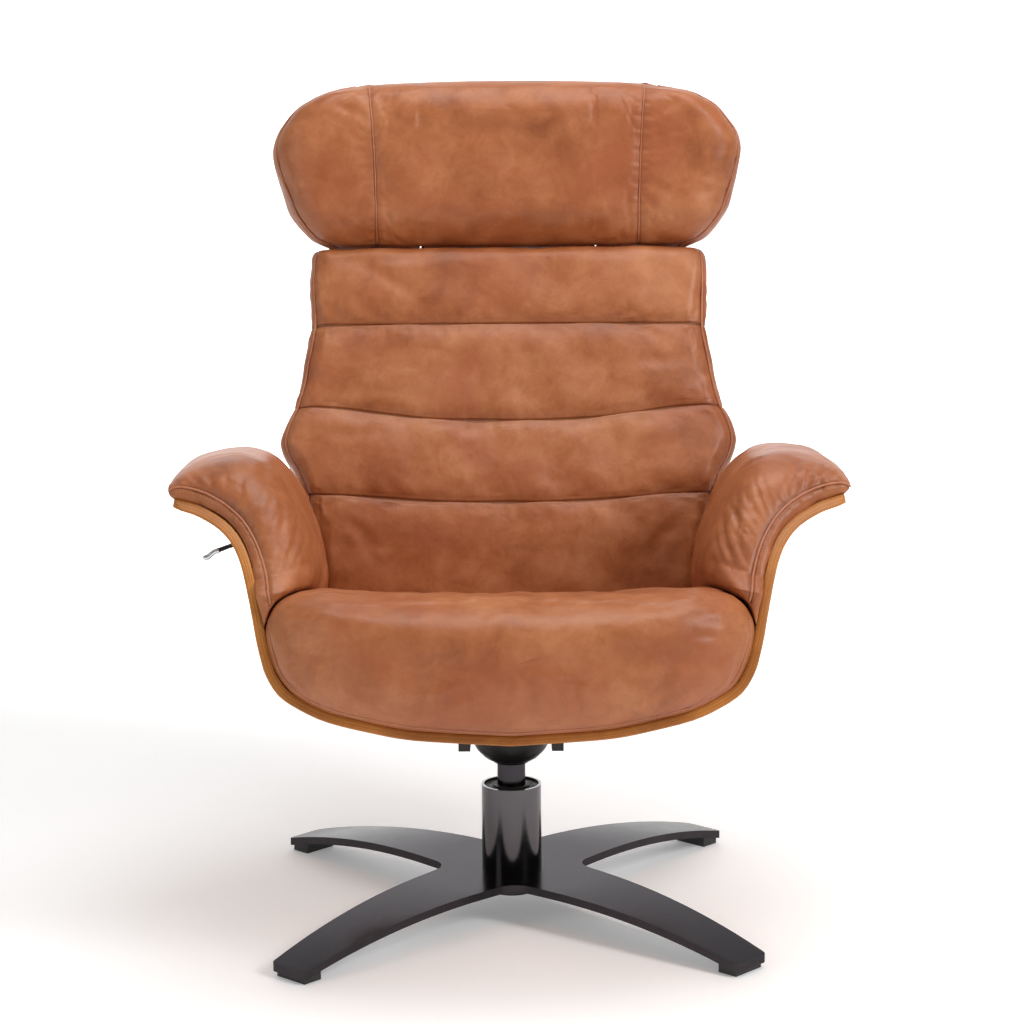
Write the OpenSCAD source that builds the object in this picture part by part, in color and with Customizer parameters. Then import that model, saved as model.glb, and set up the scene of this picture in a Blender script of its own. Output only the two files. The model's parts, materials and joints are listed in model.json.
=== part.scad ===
// Star base swivel recliner: leather cushions in a bent ply shell, on a four-legged steel star.
// Millimetres. +Z is up and the sitter faces -Y. The swivel axis meets the floor at the origin.

/* [Star base] */
// Distance from the swivel axis to the end of a leg
leg_reach = 409; // [360:1:460]
// Width of a leg beside the hub
leg_root_w = 120; // [100:1:136]
// Width of a leg at its end
leg_tip_w = 59.6; // [50:0.1:76]
// Thickness of the star plate
star_t = 10.5; // [8:0.1:13]
// Height of the hub's top face
hub_h = 57; // [52:0.5:70]
// Height of the top face at the end of a leg
leg_tip_h = 18; // [17:0.5:24]
// Distance from the axis at which a leg starts to curve down
arch_start = 120; // [90:1:150]
// Radius between two legs
crotch_r = 32; // [15:1:45]
// Turn of the star under the seat, in degrees
star_turn = 1.95; // [-45:0.05:45]
// Length of a glide pad along the leg
glide_l = 28; // [20:1:40]
// Width of a glide pad
glide_w = 50; // [30:1:50]

/* [Column] */
// Outer diameter of the column
column_d = 79.8; // [70:0.1:95]
// Height of the column's rim above the floor
column_top = 169.4; // [160:0.1:180]
// Wall of the column
column_wall = 3.4; // [2:0.1:5]
// Diameter of the turning post
post_d = 37.2; // [30:0.1:42]

/* [Shell] */
// Height of the shell's underside on the swivel axis
shell_h = 285; // [280:1:320]
// Backward tilt of the seat, in degrees
seat_tilt = 5; // [2:0.5:8]
// Thickness of the bent ply
shell_t = 12; // [9:0.5:14]
// Distance from the middle to the tip of an arm
arm_reach = 417; // [390:1:440]
// Height from the shell's underside to the arm's tip
arm_rise = 280; // [270:1:300]
// Distance from the axis to the front edge of the shell
shell_front = 366; // [350:1:380]
// Distance from the axis to the rear edge of the shell
shell_rear = 186; // [170:1:190]

/* [Seat cushion] */
// Distance from the axis to the front of the cushion
seat_front = 415; // [400:1:430]
// Height of the cushion's front crest above the shell's underside
seat_crest = 176; // [160:1:190]
// Height of the cushion's top at the back
seat_back_h = 118; // [90:1:130]

/* [Back] */
// Lean of the back at rest, in degrees
back_lean = 20; // [16:0.5:24]
// Length of the back cushion
back_l = 540; // [500:1:560]
// Width of the back cushion at its top
back_top_w = 548; // [500:1:580]
// Width of the back cushion across the wings
back_wing_w = 627; // [600:1:640]
// Thickness of the back cushion
back_t = 86; // [70:1:100]
// Depth of the sewn channels
channel_depth = 13; // [5:1:20]

/* [Headrest] */
// Width of the headrest
head_w = 652; // [600:1:680]
// Thickness of the headrest
head_t = 116; // [100:1:124]
// Height of the headrest above its pivot
head_rise = 172; // [150:1:190]
// Lean of the headrest at rest, in degrees
head_lean = 8; // [0:0.5:15]

/* [Arm pads] */
// Height of the boxing strip round an arm pad
boxing = 15; // [10:1:20]

/* [Recline] */
// Travel of the back, in degrees
recline_travel = 25; // [10:1:25]
// Length of the crank that pushes the gas spring
crank_l = 50; // [49:0.5:52]
// Diameter of the recline shaft
shaft_d = 18; // [16:0.5:20]
// Diameter of the gas spring
spring_d = 24; // [20:0.5:24]
// Width of a seat rail
rail_w = 15; // [12:0.5:18]
// Height of a seat rail
rail_h = 30; // [28:0.5:34]

/* [Hidden] */
$fn = 96;

// Colours
leather = [0.69, 0.42, 0.27];
honey_ply = [0.66, 0.42, 0.20];
gunmetal = [0.24, 0.23, 0.24];
bare_steel = [0.62, 0.63, 0.65];
black_paint = [0.09, 0.09, 0.09];
nylon = [0.85, 0.84, 0.80];
chrome = [0.86, 0.87, 0.89];

// Shared small sizes
cut_over = 1;
running_play = 0.05;
seat_gap = 0.4;
far = 900;

// Star
arch_drop = hub_h - leg_tip_h;
arch_run = leg_reach - arch_start;
arch_r = (arch_run * arch_run + arch_drop * arch_drop) / (2 * arch_drop);
taper = atan((leg_root_w - leg_tip_w) / 2 / (leg_reach - leg_root_w / 2));
tip_corner_r = 6;
arc_steps = 8;
glide_inset = 5;
glide_screw_d = 4;
glide_head_d = 8;
glide_head_h = 2.5;
glide_screw_l = 15;

// Hub, column and post
hub_bolt_d = 12;
hub_bolt_play = 0.2;
hub_bolt_head_d = 19;
hub_bolt_head_h = 8;
boss_d = 60;
boss_floor = 22;
boss_recess_d = 27;
boss_recess_h = 13;
foot_t = 10;
foot_h = 30;
bush_wall = 3.4;
bush_flange_d = 49;
bush_flange_t = 1.6;
bush_l = 17;
washer_t = 3;
head_plate_t = 8;
rim_recess = 2.4;
ring_t = 2;
ring_groove = 1.2;
ring_stand = 3;
post_lower = hub_h + foot_t + washer_t;
bush_bore = post_d + 2 * running_play;
bush_d = post_d + 2 * bush_wall;
head_top = column_top - rim_recess;
bush_top = head_top + bush_flange_t;
ring_h = head_top - bush_l - cut_over - ring_t;

// Stack between the swivel cup and the shell, measured down from the shell's underside
spacer_t = 8;
deck_t = 4;
swivel_plate_t = 5;
deck_top = -spacer_t;
deck_low = deck_top - deck_t;
rail_low = deck_low - rail_h;
stack_low = rail_low - swivel_plate_t;

// Rails and deck
rail_x = 59.5;
rail_wall = 2;
rail_front = 160;
rail_rear = 247;
rail_cap_t = 3;
rail_plug_l = 10;
plug_play = 0.2;
deck_w = 150;
deck_front = 150;
deck_rear = 178;
swivel_plate_w = 132;
swivel_plate_l = 120;
swivel_bolt_y = 45;
swivel_bolt_d = 6;
swivel_bolt_head_h = 4;
spacer_w = 144;
spacer_l = 46;
spacer_front_y = -118;
spacer_rear_y = 138;
shell_bolt_x = 38;
shell_bolt_d = 6;
shell_bolt_head_d = 12;
shell_bolt_head_h = 3;
shell_bolt_nut_d = 11;
shell_bolt_nut_h = 5;
bolt_play = 0.4;

// Cup
cup_low = 199;
cup_shares = [[0, 0], [0.40, 0], [0.47, 0.04], [0.65, 0.15], [0.77, 0.27], [0.87, 0.39],
    [0.94, 0.53], [0.98, 0.70], [1, 1]];
cup_r = 52;
cup_h = 47;
post_in_cup = 32;

// Recline gear
spring_r = spring_d / 2;
spring_z = (deck_low + rail_low) / 2;
shaft_y = 230;
half_swing = recline_travel / 2;
shaft_z = spring_z + crank_l * (1 + cos(half_swing)) / 2;
crank_reach = crank_l * sin(half_swing);
shaft_bush_wall = 3;
shaft_bush_flange = 1.5;
lug_t = 8;
lug_r = 17;
shaft_half_l = 84;
hub_r = 16;
hub_w = 16;
side_play = 0.3;
crank_pin_d = 8;
eye_play = 0.8;
eye_d = 18;
eye_w = 11;
eye_seat = 7;
cheek_gap = 12;
cheek_t = 6;
rod_d = 10;
spring_wall = 2;
spring_front = 40;
spring_rear = 190;
spring_cap = 8;
piston_y = 100;
piston_l = 8;
piston_play = 0.1;
anchor_y = -8;
anchor_pin_d = 8;
tongue_w = 20;
tongue_r = 9;
ear_t = 6;
ear_gap = 0.5;
ear_w = 24;
ear_drop = 28;
head_block_w = 30;
head_block_h = 26;
head_block_front = 8;
inlet_d = 9;
inlet_l = 7;
cable_y = 24;

// Uprights and back board, in the back's own frame
cushion_rear = -66;
board_t = 10;
board_inset = 16;
upright_x = 73;
upright_t = 8;
upright_depth = 20;
upright_bend = 93;
upright_under_top = 130;
back_bolt_d = 6;
back_bolt_zs_shares = [0.27, 0.55, 0.93];
back_bolt_head_d = 11;
back_bolt_head_h = 3;
upright_front = cushion_rear + seat_gap + board_t;

// Headrest hinge
head_gap = 3.18;
head_forward = 49.5;
bracket_x = 118;
bracket_t = 5;
bracket_w = 16;
knee_over_back = 15;
flange_w = 22;
flange_t = 4;
flange_l = 77;
flange_under_top = 28;
arm_gap = 0.4;
head_pin_d = 10;
head_pin_over = 2;
head_hub_r = 18;
head_board_t = 10;
head_board_w = 400;
head_board_low = 34;
head_board_high = 140;
head_arm_top = 96;
slot_side = 3;
slot_r = 76;

// Lever
lever_z = 207;
lever_stand = 17.65;
lever_slope = 14;
lever_hub_r = 7;
lever_w = 9;
lever_t = 5;
lever_l = 46;
lever_pin_d = 6;
grip_d = 9;
grip_l = 16;
bracket_side = 5;
bracket_z = 30;
bracket_base_stand = 10;
bracket_out_stand = 27;
cable_d = 5;
groove_w = 6.4;
groove_depth = 6.8;
cable_hole_d = 11;
// Route of the release cable from the lever bracket into the groove, and from the groove to the
// gas spring, as points across the chair. The first ones are measured from the arm's wall, outwards,
// and down from the lever.
cable_start_outs = [8, 0, -8, -13];
cable_start_drops = [11.5, 11.5, 13, 17];
cable_end = [[-111, 16], [-106.5, 13.2], [-104.3, 7], [-103.5, -1], [-101, -9], [-96, -17],
    [-87, -24], [-75, -27], [-48, -27], [-22, -27]];
cable_hole_x = -104;
groove_end_x = 100;
cable_bend_x = 112;

// A smooth curve through points, each stretch cut into n steps
function curve_point(a, b, c, d, t) =
    ((2 * b) + (c - a) * t + (2 * a - 5 * b + 4 * c - d) * t * t
        + (3 * b - a - 3 * c + d) * t * t * t) / 2;
function smooth(p, n) = let (e = len(p) - 1) concat(
    [for (i = [0 : e - 1], k = [0 : n - 1])
        curve_point(p[max(i - 1, 0)], p[i], p[i + 1], p[min(i + 2, e)], k / n)],
    [p[e]]);
function unit(v) = v / norm(v);
function sized(shares, sx, sy) = [for (s = shares) [s[0] * sx, s[1] * sy]];
function turned(v) = [-v[1], v[0]];
function reversed(p) = [for (i = [len(p) - 1 : -1 : 0]) p[i]];
function mirrored(p) = [for (q = p) [-q[0], q[1]]];
// A path from the middle out to the right, carried on to the left
function both_sides(p) = concat(reversed(mirrored(p)), [for (i = [1 : len(p) - 1]) p[i]]);
// A path moved sideways by d, to the left of its direction
function beside(p, d) = let (e = len(p) - 1) [for (i = [0 : e])
    p[i] + d * turned(unit(p[min(i + 1, e)] - p[max(i - 1, 0)]))];
// A quarter round: 0 at the start of the rounding, 1 at its end
function quarter(q) = 1 - sqrt(max(0, 1 - q * q));
function mix(a, b, t) = a + (b - a) * t;

// Shell outlines, in the seat's frame
shell_profile_shares = [[0, 0], [0.187, 0.016], [0.3, 0.03], [0.403, 0.059], [0.525, 0.104],
    [0.608, 0.159], [0.669, 0.221], [0.705, 0.304], [0.721, 0.375], [0.735, 0.456],
    [0.746, 0.536], [0.763, 0.646], [0.785, 0.761], [0.813, 0.843], [0.855, 0.907],
    [0.917, 0.958], [0.964, 0.981], [1, 0.996]];
shell_outer = smooth(sized(shell_profile_shares, arm_reach, arm_rise), 3);
// The shell's outline moved inwards by d, from the middle out to the right
function shell_line(d) = let (q = beside(shell_outer, d))
    concat([[0, d]], [for (i = [1 : len(q) - 1]) q[i]]);
shell_inner = shell_line(shell_t);
front_edge_shares = [[1.013, -0.1], [1, 0.018], [0.967, 0.304], [0.902, 0.561], [0.806, 0.786],
    [0.708, 0.939], [0.664, 1], [0.61, 1.08]];
rear_edge_shares = [[1, -0.1], [1, 0.018], [0.99, 0.143], [0.925, 0.393], [0.806, 0.714],
    [0.688, 1], [0.66, 1.08]];
front_edge = smooth([for (s = front_edge_shares) [-s[0] * shell_front, s[1] * arm_rise]], 3);
rear_edge = smooth(sized(rear_edge_shares, shell_rear, arm_rise), 3);
arm_corner_r = 52;
arm_corner_out = 5;
front_by_height = [for (p = front_edge) [p[1], p[0]]];
rear_by_height = [for (p = rear_edge) [p[1], p[0]]];
arm_side_x = arm_reach - arm_corner_r;
outer_by_x = [for (p = shell_outer) p];
outer_by_height = [for (p = shell_outer) [p[1], p[0]]];
corner_z = lookup(arm_side_x, outer_by_x);
corner_front = lookup(corner_z, front_by_height);
corner_rear = lookup(corner_z, rear_by_height);

// Places that follow the arm's wall beside the lever
lever_wall_x = lookup(lever_z, outer_by_height);
lever_x = -lever_wall_x - lever_stand;
bracket_base = lever_wall_x + bracket_base_stand;
bracket_out = lever_wall_x + bracket_out_stand;
cable_start = [for (i = [0 : 3])
    [-lever_wall_x - cable_start_outs[i], lever_z - cable_start_drops[i]]];

// Back outlines, in the back's frame: height share against half width share
back_foot = 20;
back_top = back_foot + back_l;
back_half_shares = [[0, 0.80], [0.05, 0.815], [0.15, 0.825], [0.248, 0.835], [0.318, 0.86],
    [0.367, 0.892], [0.414, 0.938], [0.449, 0.984], [0.488, 1], [0.526, 0.985], [0.56, 0.963],
    [0.596, 0.940], [0.635, 0.922], [0.695, 0.906], [0.744, 0.890], [0.804, 0.882], [0.913, 0.880],
    [0.985, 0.875], [1, 0.862]];
back_face_shares = [[0, 0.60], [0.07, 0.80], [0.19, 0.96], [0.34, 1.05], [0.52, 0.99],
    [0.71, 0.94], [0.90, 0.92], [1, 0.88]];
back_edge_r = 34;
back_top_r = 24;
seam_shares = [0.323, 0.537, 0.791];
seam_bows = [13, 22, 0];
bow_shares = [[0, 0], [0.2, 0.03], [0.4, 0.18], [0.6, 0.52], [0.8, 0.88], [1, 1]];
channel_w = 24;
panel_crown = 4;
back_columns = 17;
back_rise_shares = [0, 0.03, 0.08, 0.15, 0.22, 0.28, 0.308, 0.323, 0.338, 0.37, 0.42, 0.47, 0.507,
    0.526, 0.537, 0.548, 0.572, 0.63, 0.69, 0.74, 0.774, 0.791, 0.808, 0.85, 0.90, 0.95, 0.98, 1];
panel_inset = 5;
panel_depth_shares = [[0, 0.62], [0.1, 0.92], [0.3, 1], [0.6, 0.90], [0.85, 0.70], [0.97, 0.56],
    [1, 0.44]];
panel_depth = 50;
panel_rises_shares = [0, 0.02, 0.06, 0.2, 0.4, 0.6, 0.8, 0.93, 0.98, 1];

// Headrest outline: height share against half width share
head_panel_w = 368;
head_seam_x = head_panel_w / 2;
head_low_shares = [[0, 0.76], [0.1, 0.80], [0.25, 0.85], [0.5, 0.893], [0.8, 0.928], [1, 0.945]];
head_high_shares = [[0, 0.945], [0.12, 0.964], [0.24, 0.984], [0.36, 0.997], [0.48, 1], [0.60, 0.983],
    [0.70, 0.946], [0.80, 0.902], [0.87, 0.846], [0.93, 0.765], [1, 0.59]];
head_crown = 5;
head_edge_r = 48;
head_ear = 12;
head_pinch = 6;
head_pinch_w = 14;
head_rises = 7;

// Seat cushion
seat_rear = 104;
seat_nose_z = 98;
seat_crest_y = -325;
seat_side_share = 0.78;
seat_top_shares = [[0, 1], [0.29, 0.80], [0.62, 0.38], [0.90, 0.06], [1, 0]];
crown_shares = [[0, 0], [0.27, 0.006], [0.5, 0.017], [0.70, 0.032], [0.82, 0.030],
    [0.91, -0.022], [0.97, -0.115], [1, -0.22]];
seat_columns = 19;
nose_shape_share = 0.6;
nose_angles = [84, 66, 48, 32, 18, 6];
seat_end_r = 26;

// Arm pads: the pad's free face, x share of the arm's reach and height share of the arm's rise
pad_face_shares = [[1.022, 1.068], [1.01, 1.125], [0.962, 1.173], [0.909, 1.196],
    [0.827, 1.211], [0.763, 1.196], [0.719, 1.163], [0.67, 1.093], [0.633, 1.007],
    [0.607, 0.914], [0.588, 0.821], [0.578, 0.732], [0.583, 0.689]];
pad_face = smooth(sized(pad_face_shares, arm_reach, arm_rise), 2);
pad_inset = 4;
pad_rear_cut = 16;
pad_steps = 18;
pad_turn = 14;
pad_foot_bend = 3;
pad_rises_shares = [0, 0.012, 0.04, 0.09, 0.16, 0.26, 0.42, 0.6, 0.76, 0.88, 0.95, 0.985, 1];
pad_front_share = 0.26;
pad_rear_share = 0.24;
pad_rear_thin_share = 0.35;
pad_over_seat = 1.5;

// Frames
module in_seat() {
    translate([0, 0, shell_h]) rotate([-seat_tilt, 0, 0]) children();
}
pivot = [0, shaft_y * cos(seat_tilt) + shaft_z * sin(seat_tilt),
    shell_h - shaft_y * sin(seat_tilt) + shaft_z * cos(seat_tilt)];
module in_back() {
    translate(pivot) rotate([-back_lean, 0, 0]) children();
}
// The headrest's pivot in the back's frame
head_in_back = [cushion_rear - head_forward, back_top + head_t / 2 + head_gap];
head_pivot = pivot + [0, head_in_back[0] * cos(back_lean) + head_in_back[1] * sin(back_lean),
    head_in_back[1] * cos(back_lean) - head_in_back[0] * sin(back_lean)];
module in_head() {
    translate(head_pivot) rotate([-head_lean, 0, 0]) children();
}
upright_top = back_top - upright_under_top;
bracket_knee = back_top + knee_over_back;
flange_high = back_top - flange_under_top;
flange_low = flange_high - flange_l;

// A cylinder along X between two places
module bar_x(d, x0, x1) {
    translate([x0, 0, 0]) rotate([0, 90, 0]) cylinder(d = d, h = x1 - x0);
}
// A cylinder along Y between two places
module bar_y(d, y0, y1) {
    translate([0, y0, 0]) rotate([-90, 0, 0]) cylinder(d = d, h = y1 - y0);
}
// A flat outline in the YZ plane, given thickness along X
module plate_x(x0, x1) {
    translate([x0, 0, 0]) rotate([90, 0, 90]) linear_extrude(height = x1 - x0) children();
}
// A flat outline in the XZ plane, given length along Y
module plate_y(y0, y1) {
    translate([0, y1, 0]) rotate([90, 0, 0]) linear_extrude(height = y1 - y0) children();
}
module box(low, high) {
    translate(low) cube(high - low);
}
// A closed skin over rings of equal count. Point k of a ring faces point m - 1 - k.
module skin(rings) {
    m = len(rings[0]);
    n = len(rings);
    last = (n - 1) * m;
    sides = [for (i = [0 : n - 2], j = [0 : m - 1]) let (
        a = i * m + j, b = i * m + (j + 1) % m, c = b + m, d = a + m)
        each [[a, b, c], [a, c, d]]];
    near = [for (k = [0 : m / 2 - 2]) let (a = k, b = k + 1, c = m - 2 - k, d = m - 1 - k)
        each [[c, b, a], [d, c, a]]];
    away = [for (k = [0 : m / 2 - 2]) let (
        a = last + k, b = a + 1, c = last + m - 2 - k, d = c + 1)
        each [[a, b, c], [a, c, d]]];
    polyhedron(points = [for (r = rings) each r], faces = concat(sides, near, away));
}

// Star base
module star_outline() {
    half_tip = leg_tip_w / 2;
    root = (half_tip + leg_reach * tan(taper)) / (1 + tan(taper));
    apex = root * sqrt(2);
    open = 45 + taper;
    centre = apex + crotch_r / sin(open);
    spread = 90 - open;
    corner = [leg_reach - tip_corner_r,
        half_tip + tip_corner_r * tan(taper) - tip_corner_r / cos(taper)];
    polygon([for (k = [0 : 3]) let (a = 45 + 90 * k) each concat(
        [for (i = [0 : arc_steps]) let (f = -90 + taper + (90 - taper) * i / arc_steps)
            turn_point([corner[0] + tip_corner_r * cos(f), -corner[1] + tip_corner_r * sin(f)], a)],
        [for (i = [0 : arc_steps]) let (f = (90 - taper) * i / arc_steps)
            turn_point([corner[0] + tip_corner_r * cos(f), corner[1] + tip_corner_r * sin(f)], a)],
        [for (i = [0 : arc_steps]) let (f = 180 + spread - 2 * spread * i / arc_steps)
            turn_point([centre + crotch_r * cos(f), crotch_r * sin(f)], a + 45)])]);
}
function turn_point(p, a) = [p[0] * cos(a) - p[1] * sin(a), p[0] * sin(a) + p[1] * cos(a)];
module arch_band(low, high) {
    translate([0, hub_h - low]) square([arch_start, low - high]);
    intersection() {
        translate([arch_start, hub_h - arch_r]) difference() {
            circle(r = arch_r - high, $fn = 720);
            circle(r = arch_r - low, $fn = 720);
        }
        translate([arch_start, 0]) square([leg_reach, hub_h]);
    }
}
glide_mid = leg_reach - glide_inset - glide_l / 2;
module star_base() {
    color(gunmetal) rotate([0, 0, star_turn]) difference() {
        intersection() {
            linear_extrude(height = hub_h + cut_over) star_outline();
            rotate_extrude() arch_band(star_t, 0);
        }
        cylinder(d = hub_bolt_d + hub_bolt_play, h = hub_h + cut_over);
        for (k = [0 : 3]) rotate([0, 0, 45 + 90 * k]) translate([glide_mid, 0, 0])
            cylinder(d = glide_screw_d + hub_bolt_play, h = glide_screw_l + cut_over, $fn = 32);
    }
}
module glide(k) {
    color(black_paint) rotate([0, 0, star_turn + 45 + 90 * k]) difference() {
        intersection() {
            translate([glide_mid - glide_l / 2, -glide_w / 2, 0]) cube([glide_l, glide_w, hub_h]);
            rotate_extrude() difference() {
                square([leg_reach, hub_h]);
                arch_band(star_t, 0);
                translate([arch_start, hub_h - arch_r]) difference() {
                    circle(r = arch_r + hub_h, $fn = 720);
                    circle(r = arch_r - star_t, $fn = 720);
                }
            }
        }
        translate([glide_mid, 0, -cut_over]) {
            cylinder(d = glide_screw_d + hub_bolt_play, h = hub_h, $fn = 32);
            cylinder(d = glide_head_d + hub_bolt_play, h = cut_over + 2 * cut_over + glide_head_h,
                $fn = 32);
        }
    }
}
module glide_screws() {
    color(bare_steel) for (k = [0 : 3]) rotate([0, 0, star_turn + 45 + 90 * k])
        translate([glide_mid, 0, 2 * cut_over]) {
            cylinder(d = glide_head_d, h = glide_head_h, $fn = 32);
            cylinder(d = glide_screw_d, h = glide_screw_l - 2 * cut_over, $fn = 32);
        }
}

// Column
module column_tube() {
    color(gunmetal) difference() {
        translate([0, 0, hub_h]) cylinder(d = column_d, h = column_top - hub_h);
        translate([0, 0, hub_h - cut_over])
            cylinder(d = column_d - 2 * column_wall, h = column_top - hub_h + 2 * cut_over);
    }
}
module column_disc(low, high, bore) {
    difference() {
        translate([0, 0, low]) cylinder(d = column_d - 2 * column_wall, h = high - low);
        translate([0, 0, low - cut_over]) cylinder(d = bore, h = high - low + 2 * cut_over);
    }
}
module column_head() {
    color(black_paint) column_disc(head_top - head_plate_t, head_top, bush_d);
}
module column_foot() {
    color(bare_steel) difference() {
        translate([0, 0, hub_h]) cylinder(d = column_d - 2 * column_wall, h = foot_h);
        translate([0, 0, hub_h + foot_t]) cylinder(d = bush_d, h = foot_h);
        translate([0, 0, hub_h - cut_over]) cylinder(d = hub_bolt_d, h = foot_h);
    }
}
module upper_bush() {
    color(black_paint) difference() {
        union() {
            translate([0, 0, head_top - bush_l]) cylinder(d = bush_d, h = bush_l);
            translate([0, 0, head_top]) cylinder(d = bush_flange_d, h = bush_flange_t);
        }
        translate([0, 0, head_top - bush_l - cut_over])
            cylinder(d = bush_bore, h = bush_l + bush_flange_t + 2 * cut_over);
    }
}
module lower_bush() {
    color(nylon) difference() {
        translate([0, 0, post_lower]) cylinder(d = bush_d, h = bush_l);
        translate([0, 0, post_lower - cut_over]) cylinder(d = bush_bore, h = bush_l + 2 * cut_over);
    }
}
module thrust_washer() {
    color(nylon) difference() {
        translate([0, 0, hub_h + foot_t]) cylinder(d = bush_d - side_play, h = washer_t);
        translate([0, 0, hub_h]) cylinder(d = hub_bolt_d, h = foot_t + washer_t + cut_over);
    }
}
module hub_boss() {
    color(gunmetal) difference() {
        translate([0, 0, boss_floor]) cylinder(d = boss_d, h = hub_h - star_t - boss_floor);
        translate([0, 0, boss_floor - cut_over]) cylinder(d = boss_recess_d, h = boss_recess_h);
        cylinder(d = hub_bolt_d + hub_bolt_play, h = hub_h);
    }
}
module hub_bolt() {
    seat_z = boss_floor + boss_recess_h - cut_over;
    color(bare_steel) translate([0, 0, seat_z]) {
        cylinder(d = hub_bolt_d, h = hub_h + foot_t - cut_over - seat_z);
        translate([0, 0, -hub_bolt_head_h])
            cylinder(d = hub_bolt_head_d / cos(30), h = hub_bolt_head_h, $fn = 6);
    }
}

// Turning post and cup
module swivel_post() {
    color(gunmetal) difference() {
        translate([0, 0, post_lower]) cylinder(d = post_d, h = cup_low + post_in_cup - post_lower);
        translate([0, 0, ring_h]) difference() {
            cylinder(d = post_d + 2 * cut_over, h = ring_t);
            translate([0, 0, -cut_over])
                cylinder(d = post_d - 2 * ring_groove, h = ring_t + 2 * cut_over);
        }
    }
}
module post_ring() {
    color(bare_steel) translate([0, 0, ring_h]) difference() {
        cylinder(d = post_d + 2 * ring_stand, h = ring_t);
        translate([0, 0, -cut_over])
            cylinder(d = post_d - 2 * ring_groove, h = ring_t + 2 * cut_over);
    }
}
module swivel_cup() {
    color(black_paint) difference() {
        translate([0, 0, cup_low]) rotate_extrude()
            polygon(concat(smooth(sized(cup_shares, cup_r, cup_h), 2),
                [[cup_r, cup_h + cup_r], [0, cup_h + cup_r]]));
        translate([0, 0, cup_low - cut_over])
            cylinder(d = post_d, h = post_in_cup + cut_over);
        in_seat() box([-far, -far, stack_low], [far, far, far]);
    }
}
module swivel_plate() {
    color(black_paint) in_seat() difference() {
        box([-swivel_plate_w / 2, -swivel_plate_l / 2, stack_low],
            [swivel_plate_w / 2, swivel_plate_l / 2, rail_low]);
        swivel_bolt_places() translate([0, 0, stack_low - cut_over])
            cylinder(d = swivel_bolt_d + bolt_play, h = swivel_plate_t + 2 * cut_over, $fn = 32);
    }
}
module swivel_bolt_places() {
    for (x = [-rail_x, rail_x], y = [-swivel_bolt_y, swivel_bolt_y]) translate([x, y, 0]) children();
}
module swivel_bolts() {
    color(bare_steel) in_seat() swivel_bolt_places() translate([0, 0, stack_low]) {
        cylinder(d = swivel_bolt_d, h = swivel_plate_t + 2 * rail_wall, $fn = 32);
        translate([0, 0, -swivel_bolt_head_h])
            cylinder(d = 2 * swivel_bolt_d, h = swivel_bolt_head_h, $fn = 32);
    }
}

// Rails and deck
module rail(side) {
    color(black_paint) in_seat() mirror([side < 0 ? 1 : 0, 0, 0]) difference() {
        union() {
            difference() {
                box([rail_x - rail_w / 2, -rail_front, rail_low],
                    [rail_x + rail_w / 2, rail_rear, deck_low]);
                box([rail_x - rail_w / 2 + rail_wall, -rail_front - cut_over, rail_low + rail_wall],
                    [rail_x + rail_w / 2 - rail_wall, rail_rear + cut_over, deck_low - rail_wall]);
            }
            box([rail_x - lug_t / 2, shaft_y - lug_r, deck_low - rail_wall],
                [rail_x + lug_t / 2, shaft_y + lug_r, shaft_z]);
            translate([0, shaft_y, shaft_z])
                bar_x(2 * lug_r, rail_x - lug_t / 2, rail_x + lug_t / 2);
        }
        translate([0, shaft_y, shaft_z])
            bar_x(shaft_d + 2 * shaft_bush_wall, rail_x - lug_t, rail_x + lug_t);
        for (y = [-swivel_bolt_y, swivel_bolt_y]) translate([rail_x, y, rail_low - cut_over])
            cylinder(d = swivel_bolt_d + bolt_play, h = 2 * rail_wall, $fn = 32);
        if (side < 0) translate([0, cable_y, spring_z])
            bar_x(cable_hole_d, rail_x - rail_w, rail_x + rail_w);
    }
}
module rail_caps() {
    inner_w = rail_w - 2 * rail_wall - plug_play;
    inner_h = rail_h - 2 * rail_wall - plug_play;
    mid_z = (rail_low + deck_low) / 2;
    color(black_paint) in_seat() for (x = [-rail_x, rail_x], end = [-1, 1]) {
        y = end < 0 ? -rail_front : rail_rear;
        translate([x, y, mid_z]) mirror([0, end > 0 ? 1 : 0, 0]) {
            box([-rail_w / 2, -rail_cap_t, -rail_h / 2], [rail_w / 2, 0, rail_h / 2]);
            box([-inner_w / 2, 0, -inner_h / 2], [inner_w / 2, rail_plug_l, inner_h / 2]);
        }
    }
}
module shell_bolt_places() {
    for (x = [-shell_bolt_x, shell_bolt_x], y = [spacer_front_y, spacer_rear_y])
        translate([x, y, 0]) children();
}
module mechanism_plate() {
    color(black_paint) in_seat() difference() {
        box([-deck_w / 2, -deck_front, deck_low], [deck_w / 2, deck_rear, deck_top]);
        shell_bolt_places() translate([0, 0, deck_low - cut_over])
            cylinder(d = shell_bolt_d + bolt_play, h = deck_t + 2 * cut_over, $fn = 32);
    }
}
module seat_spacers() {
    near = [for (p = shell_outer) if (p[0] <= spacer_w / 2) p];
    half_w = near[len(near) - 1][0];
    color(honey_ply) in_seat() difference() {
        for (y = [spacer_front_y, spacer_rear_y]) plate_y(y - spacer_l / 2, y + spacer_l / 2)
            polygon(concat([[-half_w, deck_top], [half_w, deck_top]],
                reversed(both_sides(near))));
        shell_bolt_places() translate([0, 0, deck_top - cut_over])
            cylinder(d = shell_bolt_d + bolt_play, h = far, $fn = 32);
    }
}
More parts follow.
